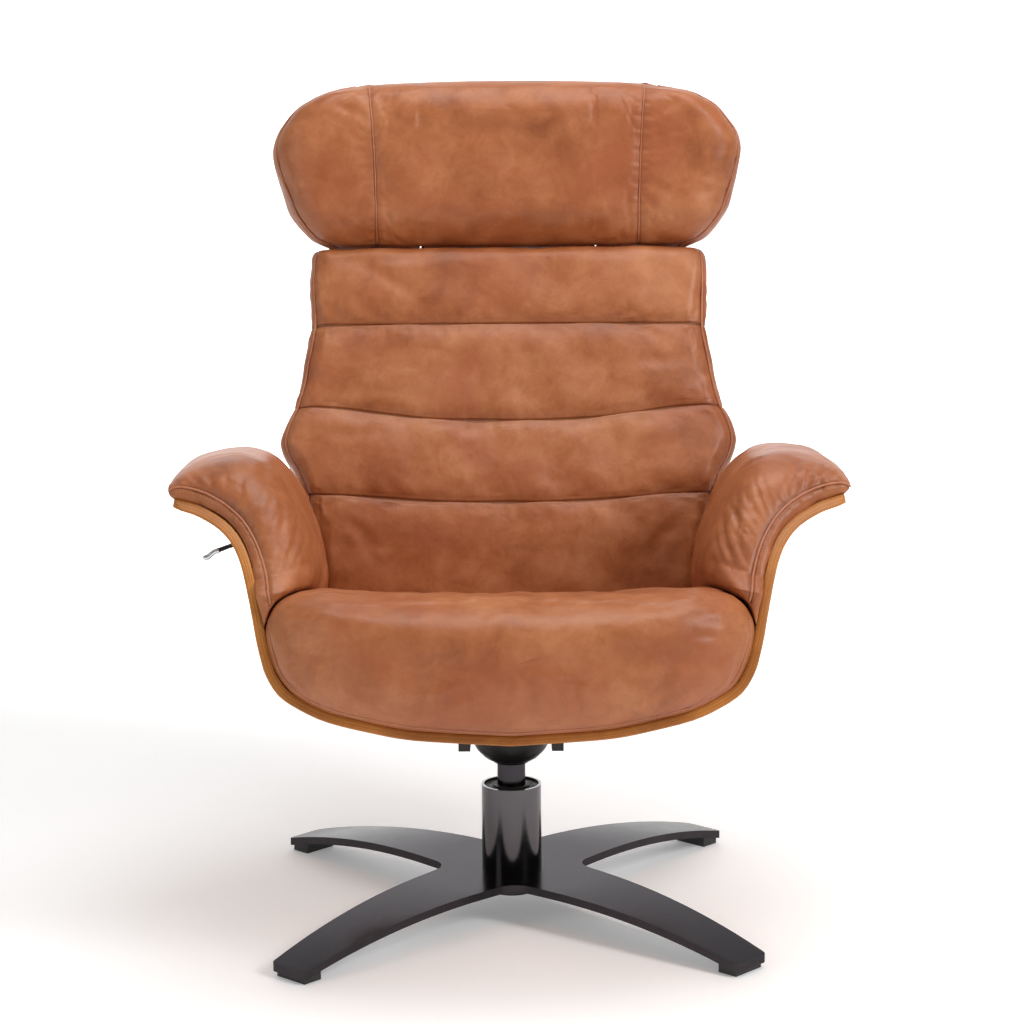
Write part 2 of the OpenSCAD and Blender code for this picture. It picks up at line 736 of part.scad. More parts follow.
module shell_bolts() {
    head_z = shell_t - shell_bolt_head_h;
    color(bare_steel) in_seat() shell_bolt_places() {
        translate([0, 0, deck_low - shell_bolt_nut_h])
            cylinder(d = shell_bolt_d, h = head_z - deck_low + shell_bolt_nut_h, $fn = 32);
        translate([0, 0, head_z])
            cylinder(d = shell_bolt_head_d, h = shell_bolt_head_h, $fn = 32);
        translate([0, 0, deck_low - shell_bolt_nut_h])
            cylinder(d = shell_bolt_nut_d, h = shell_bolt_nut_h, $fn = 6);
    }
}

// Gas spring
module spring_anchor() {
    inner = tongue_w / 2 + ear_gap;
    color(black_paint) in_seat() for (side = [0, 1]) mirror([side, 0, 0]) difference() {
        box([inner, anchor_y - ear_w / 2, deck_low - ear_drop],
            [inner + ear_t, anchor_y + ear_w / 2, deck_low]);
        translate([0, anchor_y, spring_z])
            bar_x(anchor_pin_d, inner - cut_over, inner + ear_t + cut_over);
    }
}
module anchor_pin() {
    half_l = tongue_w / 2 + ear_gap + ear_t + cut_over;
    color(bare_steel) in_seat() translate([0, anchor_y, spring_z])
        bar_x(anchor_pin_d, -half_l, half_l);
}
module release_head() {
    color(black_paint) in_seat() translate([0, 0, spring_z]) difference() {
        union() {
            box([-head_block_w / 2, head_block_front, -head_block_h / 2],
                [head_block_w / 2, spring_front, head_block_h / 2]);
            box([-tongue_w / 2, anchor_y, -tongue_r], [tongue_w / 2, head_block_front, tongue_r]);
            translate([0, anchor_y, 0]) bar_x(2 * tongue_r, -tongue_w / 2, tongue_w / 2);
            translate([0, cable_y, 0])
                bar_x(inlet_d, -head_block_w / 2 - inlet_l, -head_block_w / 2);
        }
        translate([0, anchor_y, 0]) bar_x(anchor_pin_d + 2 * running_play, -tongue_w, tongue_w);
    }
}
module gas_spring() {
    color(black_paint) in_seat() translate([0, 0, spring_z]) difference() {
        bar_y(spring_d, spring_front, spring_rear);
        bar_y(spring_d - 2 * spring_wall, spring_front + spring_cap, spring_rear - spring_cap);
        bar_y(rod_d + 2 * running_play, spring_rear - spring_cap - cut_over, spring_rear + cut_over);
    }
}
eye_y = shaft_y + crank_reach;
module spring_rod() {
    color(chrome) in_seat() translate([0, 0, spring_z]) {
        bar_y(rod_d, piston_y, eye_y - eye_seat);
        bar_y(spring_d - 2 * spring_wall - 2 * piston_play, piston_y, piston_y + piston_l);
    }
}
module rod_eye() {
    color(bare_steel) in_seat() translate([0, eye_y, spring_z]) difference() {
        bar_x(eye_d, -eye_w / 2, eye_w / 2);
        bar_x(crank_pin_d + 2 * eye_play, -eye_w, eye_w);
        bar_y(rod_d, -eye_d, -eye_seat);
    }
}

// Recline shaft, bushes, crank and uprights
module shaft_bushes() {
    outer = rail_x + lug_t / 2;
    color(nylon) in_seat() translate([0, shaft_y, shaft_z]) for (side = [0, 1])
        mirror([side, 0, 0]) difference() {
            union() {
                bar_x(shaft_d + 2 * shaft_bush_wall, rail_x - lug_t / 2, outer);
                bar_x(2 * lug_r - shaft_bush_wall, outer, outer + shaft_bush_flange);
            }
            bar_x(shaft_d + 2 * running_play, rail_x - lug_t, outer + lug_t);
        }
}
module recline_shaft() {
    color(bare_steel) in_seat() translate([0, shaft_y, shaft_z])
        bar_x(shaft_d, -shaft_half_l, shaft_half_l);
}
module crank() {
    half_gap = cheek_gap / 2;
    cheek_out = half_gap + cheek_t;
    color(black_paint) in_seat() translate([0, shaft_y, shaft_z]) rotate([half_swing, 0, 0])
        difference() {
            union() {
                bar_x(shaft_d + hub_r, -cheek_out, cheek_out);
                for (side = [0, 1]) mirror([side, 0, 0]) {
                    box([half_gap, -eye_d / 2, -crank_l], [cheek_out, eye_d / 2, 0]);
                    translate([0, 0, -crank_l]) bar_x(eye_d, half_gap, cheek_out);
                }
            }
            bar_x(shaft_d, -shaft_half_l, shaft_half_l);
            translate([0, 0, -crank_l]) bar_x(crank_pin_d, -shaft_half_l, shaft_half_l);
        }
}
module crank_pin() {
    half_l = cheek_gap / 2 + cheek_t + cut_over;
    color(bare_steel) in_seat() translate([0, shaft_y, shaft_z]) rotate([half_swing, 0, 0])
        translate([0, 0, -crank_l]) bar_x(crank_pin_d, -half_l, half_l);
}
hub_in = rail_x + lug_t / 2 + shaft_bush_flange + side_play;
module back_bolt_holes(z0, z1) {
    for (x = [-upright_x, upright_x], s = back_bolt_zs_shares)
        translate([x, 0, s * upright_top]) bar_y(back_bolt_d, z0, z1);
}
module upright(side) {
    front = upright_front;
    rear = front + upright_depth;
    color(black_paint) in_back() mirror([side < 0 ? 1 : 0, 0, 0]) difference() {
        union() {
            bar_x(2 * hub_r, hub_in, hub_in + hub_w);
            plate_x(upright_x - upright_t / 2, upright_x + upright_t / 2) polygon([
                [hub_r / 2, 0], [rear, upright_bend], [rear, upright_top], [front, upright_top],
                [front, upright_bend - hub_r / 2], [-hub_r, 0]]);
        }
        bar_x(shaft_d, 0, shaft_half_l + hub_w);
        back_bolt_holes(front - cut_over, rear + cut_over);
    }
}
module back_bolts() {
    front = cushion_rear + seat_gap;
    color(bare_steel) in_back() {
        back_bolt_holes(front + cut_over / 2, upright_front + upright_depth);
        for (x = [-upright_x, upright_x], s = back_bolt_zs_shares)
            translate([x, 0, s * upright_top])
                bar_y(back_bolt_head_d, upright_front + upright_depth,
                    upright_front + upright_depth + back_bolt_head_h);
    }
}
board_rises_shares = [0.04, 0.2, 0.32, 0.4, 0.46, 0.5, 0.55, 0.62, 0.72, 0.86, 0.97];
module back_board() {
    front = cushion_rear + seat_gap;
    edge = [for (f = board_rises_shares)
        [back_half_w(f) - board_inset, back_foot + f * back_l]];
    color(honey_ply) in_back() difference() {
        translate([0, upright_front, 0]) rotate([90, 0, 0])
            linear_extrude(height = upright_front - front)
                polygon(concat(edge, reversed(mirrored(edge))));
        back_bolt_holes(front - cut_over, upright_front + cut_over);
    }
}

// Shell
module shell_section(outer, inner) {
    polygon(concat(both_sides(outer), reversed(both_sides(inner))));
}
module shell_plan() {
    wide = arm_corner_r + arm_corner_out;
    front_corner = [for (i = [0 : arc_steps]) let (f = -90 + 90 * i / arc_steps)
        [arm_side_x + wide * cos(f), corner_front + arm_corner_r * (1 + sin(f))]];
    rear_corner = [for (i = [0 : arc_steps]) let (f = 90 * i / arc_steps)
        [arm_side_x + wide * cos(f), corner_rear - arm_corner_r * (1 - sin(f))]];
    half = concat([[arm_side_x, -far]], front_corner, rear_corner, [[arm_side_x, far]]);
    polygon(concat(half, reversed(mirrored(half))));
}
module seat_shell() {
    color(honey_ply) in_seat() difference() {
        intersection() {
            plate_y(-far, far) shell_section(shell_outer, shell_inner);
            plate_x(-far, far) polygon(concat(front_edge, reversed(rear_edge)));
            translate([0, 0, -far]) linear_extrude(height = 2 * far) shell_plan();
        }
        shell_bolt_places() {
            translate([0, 0, -cut_over])
                cylinder(d = shell_bolt_d + bolt_play, h = shell_t, $fn = 32);
            translate([0, 0, shell_t - shell_bolt_head_h])
                cylinder(d = shell_bolt_head_d + bolt_play, h = shell_t, $fn = 32);
        }
        cable_groove();
    }
}
// The groove for the release cable runs down the inner face of the left wall
groove_top_share = 0.71;
cable_top_share = 0.67;
function groove_line(from_x, top_share) = [for (p = shell_inner)
    if (p[0] > from_x && p[1] < top_share * arm_rise) [-p[0], p[1]]];
module cable_groove() {
    run_in = groove_line(groove_end_x, groove_top_share);
    points = concat([run_in[0] + (run_in[0] - run_in[1]) / 3], run_in);
    plate_y(cable_y - groove_w / 2, cable_y + groove_w / 2)
        polygon(concat(beside(points, -groove_depth), reversed(beside(points, groove_depth))));
    translate([0, cable_y, cable_start[0][1]])
        bar_x(cable_hole_d, -arm_reach, cable_start[2][0] + shell_t);
    translate([cable_hole_x, cable_y, -cut_over]) cylinder(d = cable_hole_d, h = 2 * shell_t);
}

// Release cable, a tube along its route
cable_mid = reversed(beside(groove_line(cable_bend_x, cable_top_share), groove_depth / 2));
cable_route = concat(cable_start,
    [for (i = [0 : 2 : len(cable_mid) - 1]) cable_mid[i]], cable_end);
module release_cable() {
    sides = 8;
    e = len(cable_route) - 1;
    color(black_paint) in_seat() skin([for (i = [0 : e]) let (
        along = unit(cable_route[min(i + 1, e)] - cable_route[max(i - 1, 0)]),
        across = turned(along))
        [for (k = [0 : sides - 1]) let (a = 360 * (k + 0.5) / sides, r = cable_d / 2) [
            cable_route[i][0] + r * cos(a) * across[0],
            cable_y + r * sin(a),
            cable_route[i][1] + r * cos(a) * across[1]]]]);
}

// Seat cushion: rings across the seat, from the nose to the back
seat_shell_line = shell_line(shell_t + seat_gap);
under_line = [for (p = seat_shell_line) if (p[1] < seat_crest) p];
under_by_z = [for (p = under_line) [p[1], p[0]]];
under_by_x = [for (p = under_line) p];
function seat_top(y) = mix(seat_back_h, seat_crest,
    lookup((y - seat_crest_y) / (seat_rear - seat_crest_y), seat_top_shares));
function seat_low(x) = lookup(abs(x), under_by_x);
function seat_side_z(y) = seat_side_share * seat_top(y);
function seat_half_w(y) = lookup(seat_side_z(y), under_by_z);
function seat_high(x, y) = seat_top(y) * (1 + lookup(abs(x) / seat_half_w(y), crown_shares));
seat_us = [for (j = [0 : seat_columns - 1]) sin(90 * (2 * j / (seat_columns - 1) - 1))];
// The cushion's section at y: its top from left to right and its underside back again
function seat_section(y) = let (w = seat_half_w(y)) concat(
    [for (u = seat_us) [u * w, seat_high(u * w, y)]],
    reversed([for (u = seat_us) [u * w, seat_low(u * w)]]));
function nose_start(p) = mix(-shell_front + seat_gap, seat_crest_y,
    max(0, min(1, p[1] / seat_crest)));
seat_nose = [for (a = nose_angles) let (s = pow(cos(a), nose_shape_share))
    [for (p = seat_section(seat_crest_y)) let (y0 = nose_start(p))
        [p[0] * s, y0 - (y0 + seat_front) * sin(a), seat_nose_z + (p[1] - seat_nose_z) * s]]];
seat_body_shares = [0.03, 0.12, 0.25, 0.4, 0.55, 0.7, 0.82, 0.91];
seat_body = [for (f = seat_body_shares) [for (p = seat_section(mix(seat_crest_y, seat_rear, f)))
    [p[0], mix(nose_start(p), seat_rear, f), p[1]]]];
seat_end = [for (a = [20, 50, 80]) [for (p = seat_section(seat_rear))
    let (s = 1 - quarter(sin(a)) * seat_end_r / seat_back_h)
    [p[0] * s, seat_rear - seat_end_r * (1 - sin(a)), mix(seat_back_h / 2, p[1], s)]]];
module seat_cushion() {
    color(leather) in_seat() skin(concat(seat_nose, seat_body, seat_end));
}

// Arm pads: rings along the arm, each from the tip down to the seat
wall_zs = [for (p = seat_shell_line) [p[1], p[0]]];
arm_line = reversed([for (p = seat_shell_line)
    if (p[1] > seat_back_h / 2) p]);
function run(p) = [for (i = 0, s = 0; i < len(p);
    s = s + (i + 1 < len(p) ? norm(p[i + 1] - p[i]) : 0), i = i + 1) s];
arm_run = run(arm_line);
arm_x_by_run = [for (i = [0 : len(arm_line) - 1]) [arm_run[i], arm_line[i][0]]];
arm_z_by_run = [for (i = [0 : len(arm_line) - 1]) [arm_run[i], arm_line[i][1]]];
run_by_z = [for (i = [0 : len(arm_line) - 1]) [arm_line[i][1], arm_run[i]]];
face_run = run(pad_face);
face_l = face_run[len(face_run) - 1];
face_x = [for (i = [0 : len(pad_face) - 1]) [face_run[i] / face_l, pad_face[i][0]]];
face_z = [for (i = [0 : len(pad_face) - 1]) [face_run[i] / face_l, pad_face[i][1]]];
// The pad's foot: the free face ends over the cushion and the underside follows its top
function pad_bed(i, low) = let (r = i / pad_steps * lookup(low, run_by_z))
    [lookup(r, arm_x_by_run), lookup(r, arm_z_by_run)];
pad_foot = [pad_face[len(pad_face) - 1][0], seat_side_share * seat_crest];
function pad_free(i, y, edge_x) = let (f = i / pad_turn,
    k = (i - pad_turn) / (pad_steps - pad_turn),
    foot_z = seat_high(pad_foot[0], y) + pad_over_seat,
    x = mix(pad_foot[0], edge_x, k))
    i <= pad_turn ? [lookup(f, face_x), lookup(f, face_z)
        + (foot_z - face_z[len(face_z) - 1][1]) * pow(f, pad_foot_bend)]
    : [x, seat_high(min(x, seat_half_w(y)), y) + pad_over_seat];
function corner_y(x) = x <= arm_side_x ? -far
    : corner_front + arm_corner_r * quarter(min(1, (x - arm_side_x) / arm_corner_r));
function pad_front_y(p) = max(lookup(p[1], front_by_height), corner_y(p[0])) + pad_inset;
function corner_rear_y(x) = x <= arm_side_x ? far
    : corner_rear - arm_corner_r * quarter(min(1, (x - arm_side_x) / arm_corner_r));
function pad_rear_y(p) = min(lookup(p[1], rear_by_height), corner_rear_y(p[0]),
    seat_rear + pad_rear_cut) - pad_inset - pad_rear_cut;
function pad_fill(v, thin) =
    v < pad_front_share ? 1 - (1 - thin) * quarter(1 - v / pad_front_share)
    : v > 1 - pad_rear_share
        ? 1 - (1 - max(thin, pad_rear_thin_share)) * quarter(1 - (1 - v) / pad_rear_share)
    : 1;
function pad_ring(v) = let (
    y = mix(pad_front_y(pad_foot), pad_rear_y(pad_foot), v),
    beds = [for (i = [0 : pad_steps]) pad_bed(i, seat_side_z(y) + pad_over_seat)],
    ys = [for (i = [0 : pad_steps])
        i < pad_turn ? mix(pad_front_y(beds[i]), pad_rear_y(beds[i]), v) : y],
    frees = [for (i = [0 : pad_steps]) let (p = beds[i], q = pad_free(i, y, beds[pad_steps][0]),
        thin = min(1, boxing / norm(q - p))) p + (q - p) * pad_fill(v, thin)])
    concat([for (i = [0 : pad_steps]) [beds[i][0], ys[i], beds[i][1]]],
        reversed([for (i = [0 : pad_steps]) [frees[i][0], ys[i], frees[i][1]]]));
module arm_pad(side) {
    color(leather) in_seat() mirror([side < 0 ? 1 : 0, 0, 0])
        skin([for (v = pad_rises_shares) pad_ring(v)]);
}

// Back cushion: rings up the back, bowed as its seams are
back_half = smooth([for (s = back_half_shares) [s[0], s[1]]], 2);
function back_half_w(f) = lookup(f, back_half) * back_wing_w / 2
    * mix(1, back_top_w / back_wing_w / 0.874, max(0, min(1, (f - 0.6) / 0.3)));
function back_bow(f) = lookup(f, [[0, 0], [seam_shares[0], seam_bows[0]],
    [seam_shares[1], seam_bows[1]], [seam_shares[2], seam_bows[2]], [1, 0]]);
function channel(f) = let (d = min([for (s = seam_shares) abs(f - s)]) * back_l)
    channel_depth * exp(-pow(d / (channel_w / 2), 2) * 1.2);
function back_face(f) = cushion_rear - back_t * lookup(f, smooth(back_face_shares, 3))
    + channel(f) + back_top_r * quarter(max(0, 1 - (1 - f) * back_l / back_top_r));
function bow(f, u) = back_bow(f) * lookup(abs(u), bow_shares);
// Half the width at the height that a ring reaches at its sides
function back_side_w(f) = back_half_w(min(1, f + back_bow(f) / back_l));
function across(n) = [for (j = [0 : n - 1]) sin(90 * (2 * j / (n - 1) - 1))];
function back_ring(f) = let (w = back_side_w(f), z = back_foot + f * back_l, face = back_face(f))
    concat(
        [for (u = across(back_columns)) let (q = max(0, 1 - (1 - abs(u)) * w / back_edge_r))
            [u * w, mix(face, cushion_rear - boxing / 2, 0) - panel_crown * (1 - u * u)
                + back_edge_r * quarter(q), z + bow(f, u)]],
        reversed([for (u = across(back_columns))
            [u * (w - back_edge_r / 5), cushion_rear, z + bow(f, u)]]));
module back_cushion() {
    color(leather) in_back() skin([for (f = back_rise_shares) back_ring(f)]);
}
// Upholstered cover on the rear of the back, hollow over the uprights and headrest brackets
panel_front = upright_front + seat_gap;
function panel_ring(f) = let (w = back_side_w(min(0.98, f)) - panel_inset,
    z = back_foot + f * (back_l - 2 * panel_inset),
    depth = panel_depth * lookup(f, smooth(panel_depth_shares, 3)))
    concat(
        [for (u = across(back_columns)) [u * w, panel_front, z + bow(f, u)]],
        reversed([for (u = across(back_columns))
            [u * w, panel_front + depth * (0.22 + 0.78 * (1 - pow(abs(u), 3))),
                z + bow(f, u)]]));
module back_panel() {
    rear = upright_front + upright_depth + back_bolt_head_h + seat_gap;
    side_x = hub_w / 2;
    color(leather) in_back() difference() {
        skin([for (f = panel_rises_shares) panel_ring(f)]);
        for (x = [-upright_x, upright_x]) plate_x(x - side_x, x + side_x) polygon([
            [upright_front, -far], [far, -far], [far, upright_bend + seat_gap],
            [rear, upright_bend + seat_gap], [rear, upright_top + hub_w],
            [upright_front, upright_top + hub_w]]);
        for (side = [0, 1]) mirror([side, 0, 0]) {
            box([bracket_x - seat_gap, upright_front, flange_low - seat_gap],
                [bracket_x + flange_w + seat_gap, upright_front + bracket_w + seat_gap,
                    flange_high + seat_gap]);
            box([bracket_x - 2 * seat_gap, upright_front - seat_gap, flange_high - flange_t],
                [bracket_x + bracket_t + 2 * seat_gap, far, far]);
        }
    }
}

// Headrest hinge
module headrest_bracket(side) {
    front = upright_front;
    rear = front + bracket_w;
    color(black_paint) in_back() mirror([side < 0 ? 1 : 0, 0, 0]) difference() {
        union() {
            plate_x(bracket_x, bracket_x + bracket_t) polygon([
                [front, flange_low], [rear, flange_low], [rear, bracket_knee],
                [head_in_back[0] + bracket_w / 2, head_in_back[1] + bracket_w / 2],
                [head_in_back[0] - bracket_w / 2, head_in_back[1] - bracket_w / 4],
                [front, bracket_knee - bracket_w / 2]]);
            translate([0, head_in_back[0], head_in_back[1]])
                bar_x(2 * head_hub_r, bracket_x, bracket_x + bracket_t);
            box([bracket_x, front, flange_low], [bracket_x + flange_w, front + flange_t, flange_high]);
        }
        translate([0, head_in_back[0], head_in_back[1]])
            bar_x(head_pin_d + 2 * running_play, 0, bracket_x + flange_w);
    }
}
arm_in = bracket_x + bracket_t + arm_gap;
module headrest_arm(side) {
    board_rear = head_board_t / 2;
    color(bare_steel) in_head() mirror([side < 0 ? 1 : 0, 0, 0]) difference() {
        union() {
            bar_x(2 * head_hub_r, arm_in, arm_in + bracket_t);
            box([arm_in, board_rear, 0], [arm_in + bracket_t, board_rear + flange_t, head_arm_top]);
            box([arm_in, board_rear, head_board_low],
                [arm_in + flange_w, board_rear + flange_t, head_arm_top]);
        }
        bar_x(head_pin_d, 0, arm_in + flange_w);
    }
}
module headrest_pins() {
    color(bare_steel) in_head() for (side = [0, 1]) mirror([side, 0, 0])
        bar_x(head_pin_d, bracket_x - head_pin_over, arm_in + bracket_t + head_pin_over);
}
module headrest_board() {
    color(honey_ply) in_head() box([-head_board_w / 2, -head_board_t / 2, head_board_low],
        [head_board_w / 2, head_board_t / 2, head_board_high]);
}
// Headrest cushion: rings up the headrest, round below so that it can tilt
head_r = head_t / 2;
function head_half_w(z) = head_w / 2 * (z < 0 ? lookup(1 + z / head_r, head_low_shares)
    : lookup(z / head_rise, smooth(head_high_shares, 2)));
function head_depth(z) = z < 0 ? sqrt(max(0, head_r * head_r - z * z))
    : head_r * sqrt(max(0, 1 - pow(max(0, (z - head_rise + head_edge_r) / head_edge_r), 2.2)));
head_inner_us = [for (j = [-4 : 4]) j / 4];
head_outer_us = [0.07, 0.25, 0.5, 0.72, 0.88, 0.97, 1];
function head_xs(w) = concat(
    reversed([for (q = head_outer_us) -mix(head_seam_x, w, q)]),
    [for (u = head_inner_us) u * head_seam_x],
    [for (q = head_outer_us) mix(head_seam_x, w, q)]);
function head_side(x, w, z) = let (
    q = max(0, min(1, (abs(x) - w + head_edge_r) / head_edge_r)),
    pinch = head_pinch * exp(-pow((abs(x) - head_seam_x) / head_pinch_w, 2) * 2))
    max(cut_over / 4, head_depth(z) * (1 - quarter(q)) - pinch * head_depth(z) / head_r);
function head_ear_push(x, w) = head_ear * pow(max(0, abs(x) - head_seam_x) / (w - head_seam_x), 2);
function head_rise_in(x, w) = head_crown * (1 - pow(x / w, 2));
head_zs = concat(
    [for (a = [-88, -72, -54, -36, -18, 0]) head_r * sin(a)],
    [for (i = [1 : head_rises]) mix(0, head_rise - head_edge_r, i / head_rises)],
    [for (a = [0.3, 0.55, 0.78, 0.92, 0.99]) head_rise - head_edge_r + head_edge_r * a]);
module headrest_cushion() {
    color(leather) in_head() difference() {
        skin([for (z = head_zs) let (w = head_half_w(z), xs = head_xs(w),
            lift = max(0, z) / head_rise) concat(
            [for (x = xs) [x, -head_side(x, w, z) - lift * head_ear_push(x, w),
                z + lift * head_rise_in(x, w)]],
            reversed([for (x = xs) [x, head_side(x, w, z) - lift * head_ear_push(x, w),
                z + lift * head_rise_in(x, w)]]))]);
        box([-head_board_w / 2 - seat_gap, -head_board_t / 2 - seat_gap, head_board_low - seat_gap],
            [head_board_w / 2 + seat_gap, head_board_t / 2 + flange_t + seat_gap,
                head_board_high + seat_gap]);
        for (side = [0, 1]) mirror([side, 0, 0]) {
            bar_x(2 * (head_hub_r + slot_side), bracket_x - slot_side,
                arm_in + flange_w + slot_side);
            box([bracket_x - slot_side, -head_hub_r, 0],
                [arm_in + flange_w + slot_side, head_hub_r, head_board_low + cut_over]);
            box([bracket_x - slot_side, -head_hub_r, -slot_r],
                [arm_in, slot_r, head_hub_r]);
        }
    }
}

// Lever on the outside of the left arm
module lever_bracket() {
    color(black_paint) in_seat() difference() {
        translate([0, cable_y, lever_z]) box([-bracket_out, -lever_w / 2 - bracket_side, -bracket_z / 2],
            [-bracket_base + shell_t, lever_w / 2 + bracket_side, bracket_z / 2]);
        plate_y(-far, far) polygon(concat([[-far, far]], [[0, far]],
            mirrored(shell_outer), [[-arm_reach, far]]));
        translate([0, cable_y, lever_z]) box([-far, -lever_w / 2 - side_play, -bracket_z],
            [-bracket_base, lever_w / 2 + side_play, bracket_z]);
        translate([lever_x, 0, lever_z]) bar_y(lever_pin_d, 0, 2 * cable_y);
        translate([0, cable_y, cable_start[0][1]]) bar_x(cable_hole_d, -arm_reach, 0);
    }
}
module lever_pin() {
    half_l = lever_w / 2 + bracket_side + cut_over;
    color(bare_steel) in_seat() translate([lever_x, 0, lever_z])
        bar_y(lever_pin_d, cable_y - half_l, cable_y + half_l);
}
module lever_arm() {
    color(black_paint) in_seat() translate([lever_x, cable_y, lever_z]) rotate([0, -lever_slope, 0])
        difference() {
            union() {
                bar_y(2 * lever_hub_r, -lever_w / 2, lever_w / 2);
                box([-lever_l, -lever_w / 2, -lever_t / 2], [0, lever_w / 2, lever_t / 2]);
            }
            bar_y(lever_pin_d + 2 * running_play, -lever_w, lever_w);
        }
}
module lever_grip() {
    color(chrome) in_seat() translate([lever_x, cable_y, lever_z]) rotate([0, -lever_slope, 0]) {
        bar_x(grip_d, -lever_l - grip_l, -lever_l);
        translate([-lever_l - grip_l, 0, 0]) sphere(d = grip_d);
    }
}

star_base();
glide(2);  // glide_front_left
glide(3);  // glide_front_right
glide(1);  // glide_rear_left
glide(0);  // glide_rear_right
glide_screws();
column_tube();
column_head();
column_foot();
upper_bush();
lower_bush();
thrust_washer();
hub_boss();
hub_bolt();
swivel_post();
post_ring();
swivel_cup();
swivel_plate();
swivel_bolts();
rail(-1);  // rail_left
rail(1);  // rail_right
rail_caps();
mechanism_plate();
seat_spacers();
spring_anchor();
anchor_pin();
release_head();
gas_spring();
shaft_bushes();
seat_shell();
shell_bolts();
seat_cushion();
arm_pad(-1);  // arm_pad_left
arm_pad(1);  // arm_pad_right
lever_bracket();
lever_pin();
release_cable();
recline_shaft();
crank();
crank_pin();
upright(-1);  // upright_left
upright(1);  // upright_right
back_board();
back_bolts();
back_cushion();
back_panel();
headrest_bracket(-1);  // headrest_bracket_left
headrest_bracket(1);  // headrest_bracket_right
headrest_cushion();
headrest_board();
headrest_arm(-1);  // headrest_arm_left
headrest_arm(1);  // headrest_arm_right
headrest_pins();
lever_arm();
lever_grip();
spring_rod();
rod_eye();
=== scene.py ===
"""Looks for the star base swivel recliner: leather forms, seams, wood, metal, light and camera."""
import json
import math

import bpy
import numpy as np
from mathutils import Euler, Matrix, Vector


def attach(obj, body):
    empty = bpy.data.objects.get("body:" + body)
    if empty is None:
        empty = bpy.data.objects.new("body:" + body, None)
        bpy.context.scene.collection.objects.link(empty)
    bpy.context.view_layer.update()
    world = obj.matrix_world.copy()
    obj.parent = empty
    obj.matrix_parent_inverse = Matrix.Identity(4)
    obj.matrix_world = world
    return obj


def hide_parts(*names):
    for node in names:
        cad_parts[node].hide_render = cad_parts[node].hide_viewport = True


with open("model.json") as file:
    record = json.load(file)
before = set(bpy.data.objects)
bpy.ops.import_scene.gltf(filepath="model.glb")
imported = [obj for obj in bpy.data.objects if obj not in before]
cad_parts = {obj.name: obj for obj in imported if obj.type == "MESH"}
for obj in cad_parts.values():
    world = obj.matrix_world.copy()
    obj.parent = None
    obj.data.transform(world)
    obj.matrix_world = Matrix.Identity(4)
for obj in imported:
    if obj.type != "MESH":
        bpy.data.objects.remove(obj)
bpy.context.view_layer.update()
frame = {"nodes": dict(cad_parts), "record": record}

# Lengths are in millimetres in each piece's own leaning frame, and in metres in Blender
MM = 0.001
SEAT_ORIGIN, SEAT_LEAN = (0.0, 0.0, 285.0), 5
BACK_ORIGIN, BACK_LEAN = (0.0, 231.078, 287.276), 20
HEAD_ORIGIN, HEAD_LEAN = (0.0, 334.999, 910.498), 8


# Frames and curves
def place(points, origin, lean):
    """Turns points by the lean about the X axis, then adds the origin and goes to metres."""
    p = np.asarray(points, float)
    c, s = math.cos(math.radians(lean)), math.sin(math.radians(lean))
    x, y, z = p[..., 0], p[..., 1], p[..., 2]
    return (np.stack([x, y * c + z * s, z * c - y * s], -1) + np.asarray(origin)) * MM


def in_seat(p):
    """The seat's frame to the world."""
    return place(p, SEAT_ORIGIN, SEAT_LEAN)


def in_back(p):
    """The back's frame to the world."""
    return place(p, BACK_ORIGIN, BACK_LEAN)


def in_head(p):
    """The headrest's frame to the world."""
    return place(p, HEAD_ORIGIN, HEAD_LEAN)


def unit(v):
    """Each vector divided by its length."""
    return v / np.maximum(np.linalg.norm(v, axis=-1, keepdims=True), 1e-9)


def smooth(points, n):
    """A cubic through the points, whose slope at a point is half the step between its neighbours."""
    p = np.asarray(points, float)
    e = len(p) - 1
    i = np.arange(e)
    a, b, c, d = p[np.maximum(i - 1, 0)], p[i], p[i + 1], p[np.minimum(i + 2, e)]
    a, b, c, d = a[:, None], b[:, None], c[:, None], d[:, None]
    t = (np.arange(n) / n)[None, :, None]
    out = (2 * b + (c - a) * t + (2 * a - 5 * b + 4 * c - d) * t ** 2
           + (3 * b - a - 3 * c + d) * t ** 3) / 2
    return np.vstack([out.reshape(-1, p.shape[1]), p[-1:]])


def table(points, n=6):
    """A smooth lookup through pairs of values."""
    q = smooth(points, n)
    q = q[np.argsort(q[:, 0], kind="stable")]
    return lambda v: np.interp(v, q[:, 0], q[:, 1])


def along(path):
    """Length along a path at each of its points."""
    return np.concatenate([[0], np.cumsum(np.linalg.norm(np.diff(path, axis=0), axis=1))])


def resample(path, count):
    """The same path with so many points at even steps of its length."""
    s = along(path)
    q = np.linspace(0, s[-1], count)
    return np.stack([np.interp(q, s, path[:, k]) for k in range(path.shape[1])], -1)


def even(path, step):
    """The same path with its points about a step apart."""
    path = np.asarray(path, float)
    return resample(path, max(3, int(round(along(path)[-1] / step)) + 1))


def curve(*points):
    """A smooth line through three or more points."""
    return smooth(np.array(points, float), 12)


def soften_loop(a, axis):
    """A closed run where each value becomes half of itself and a quarter of each neighbour."""
    return (np.roll(a, 1, axis) + 2 * a + np.roll(a, -1, axis)) / 4


def soften_run(a):
    """The same for an open run, changed in place, whose two ends stay."""
    a[1:-1] = (a[:-2] + 2 * a[1:-1] + a[2:]) / 4


def soften_skin(a, times):
    """The same for a grid, round its closed rows and along its open columns, so many times."""
    for _ in range(times):
        a = soften_loop(a, 1)
        soften_run(a)
    return a


def quarter(q):
    """The fall of a quarter circle: none at 0, one at 1."""
    return 1 - np.sqrt(np.clip(1 - q * q, 0, 1))


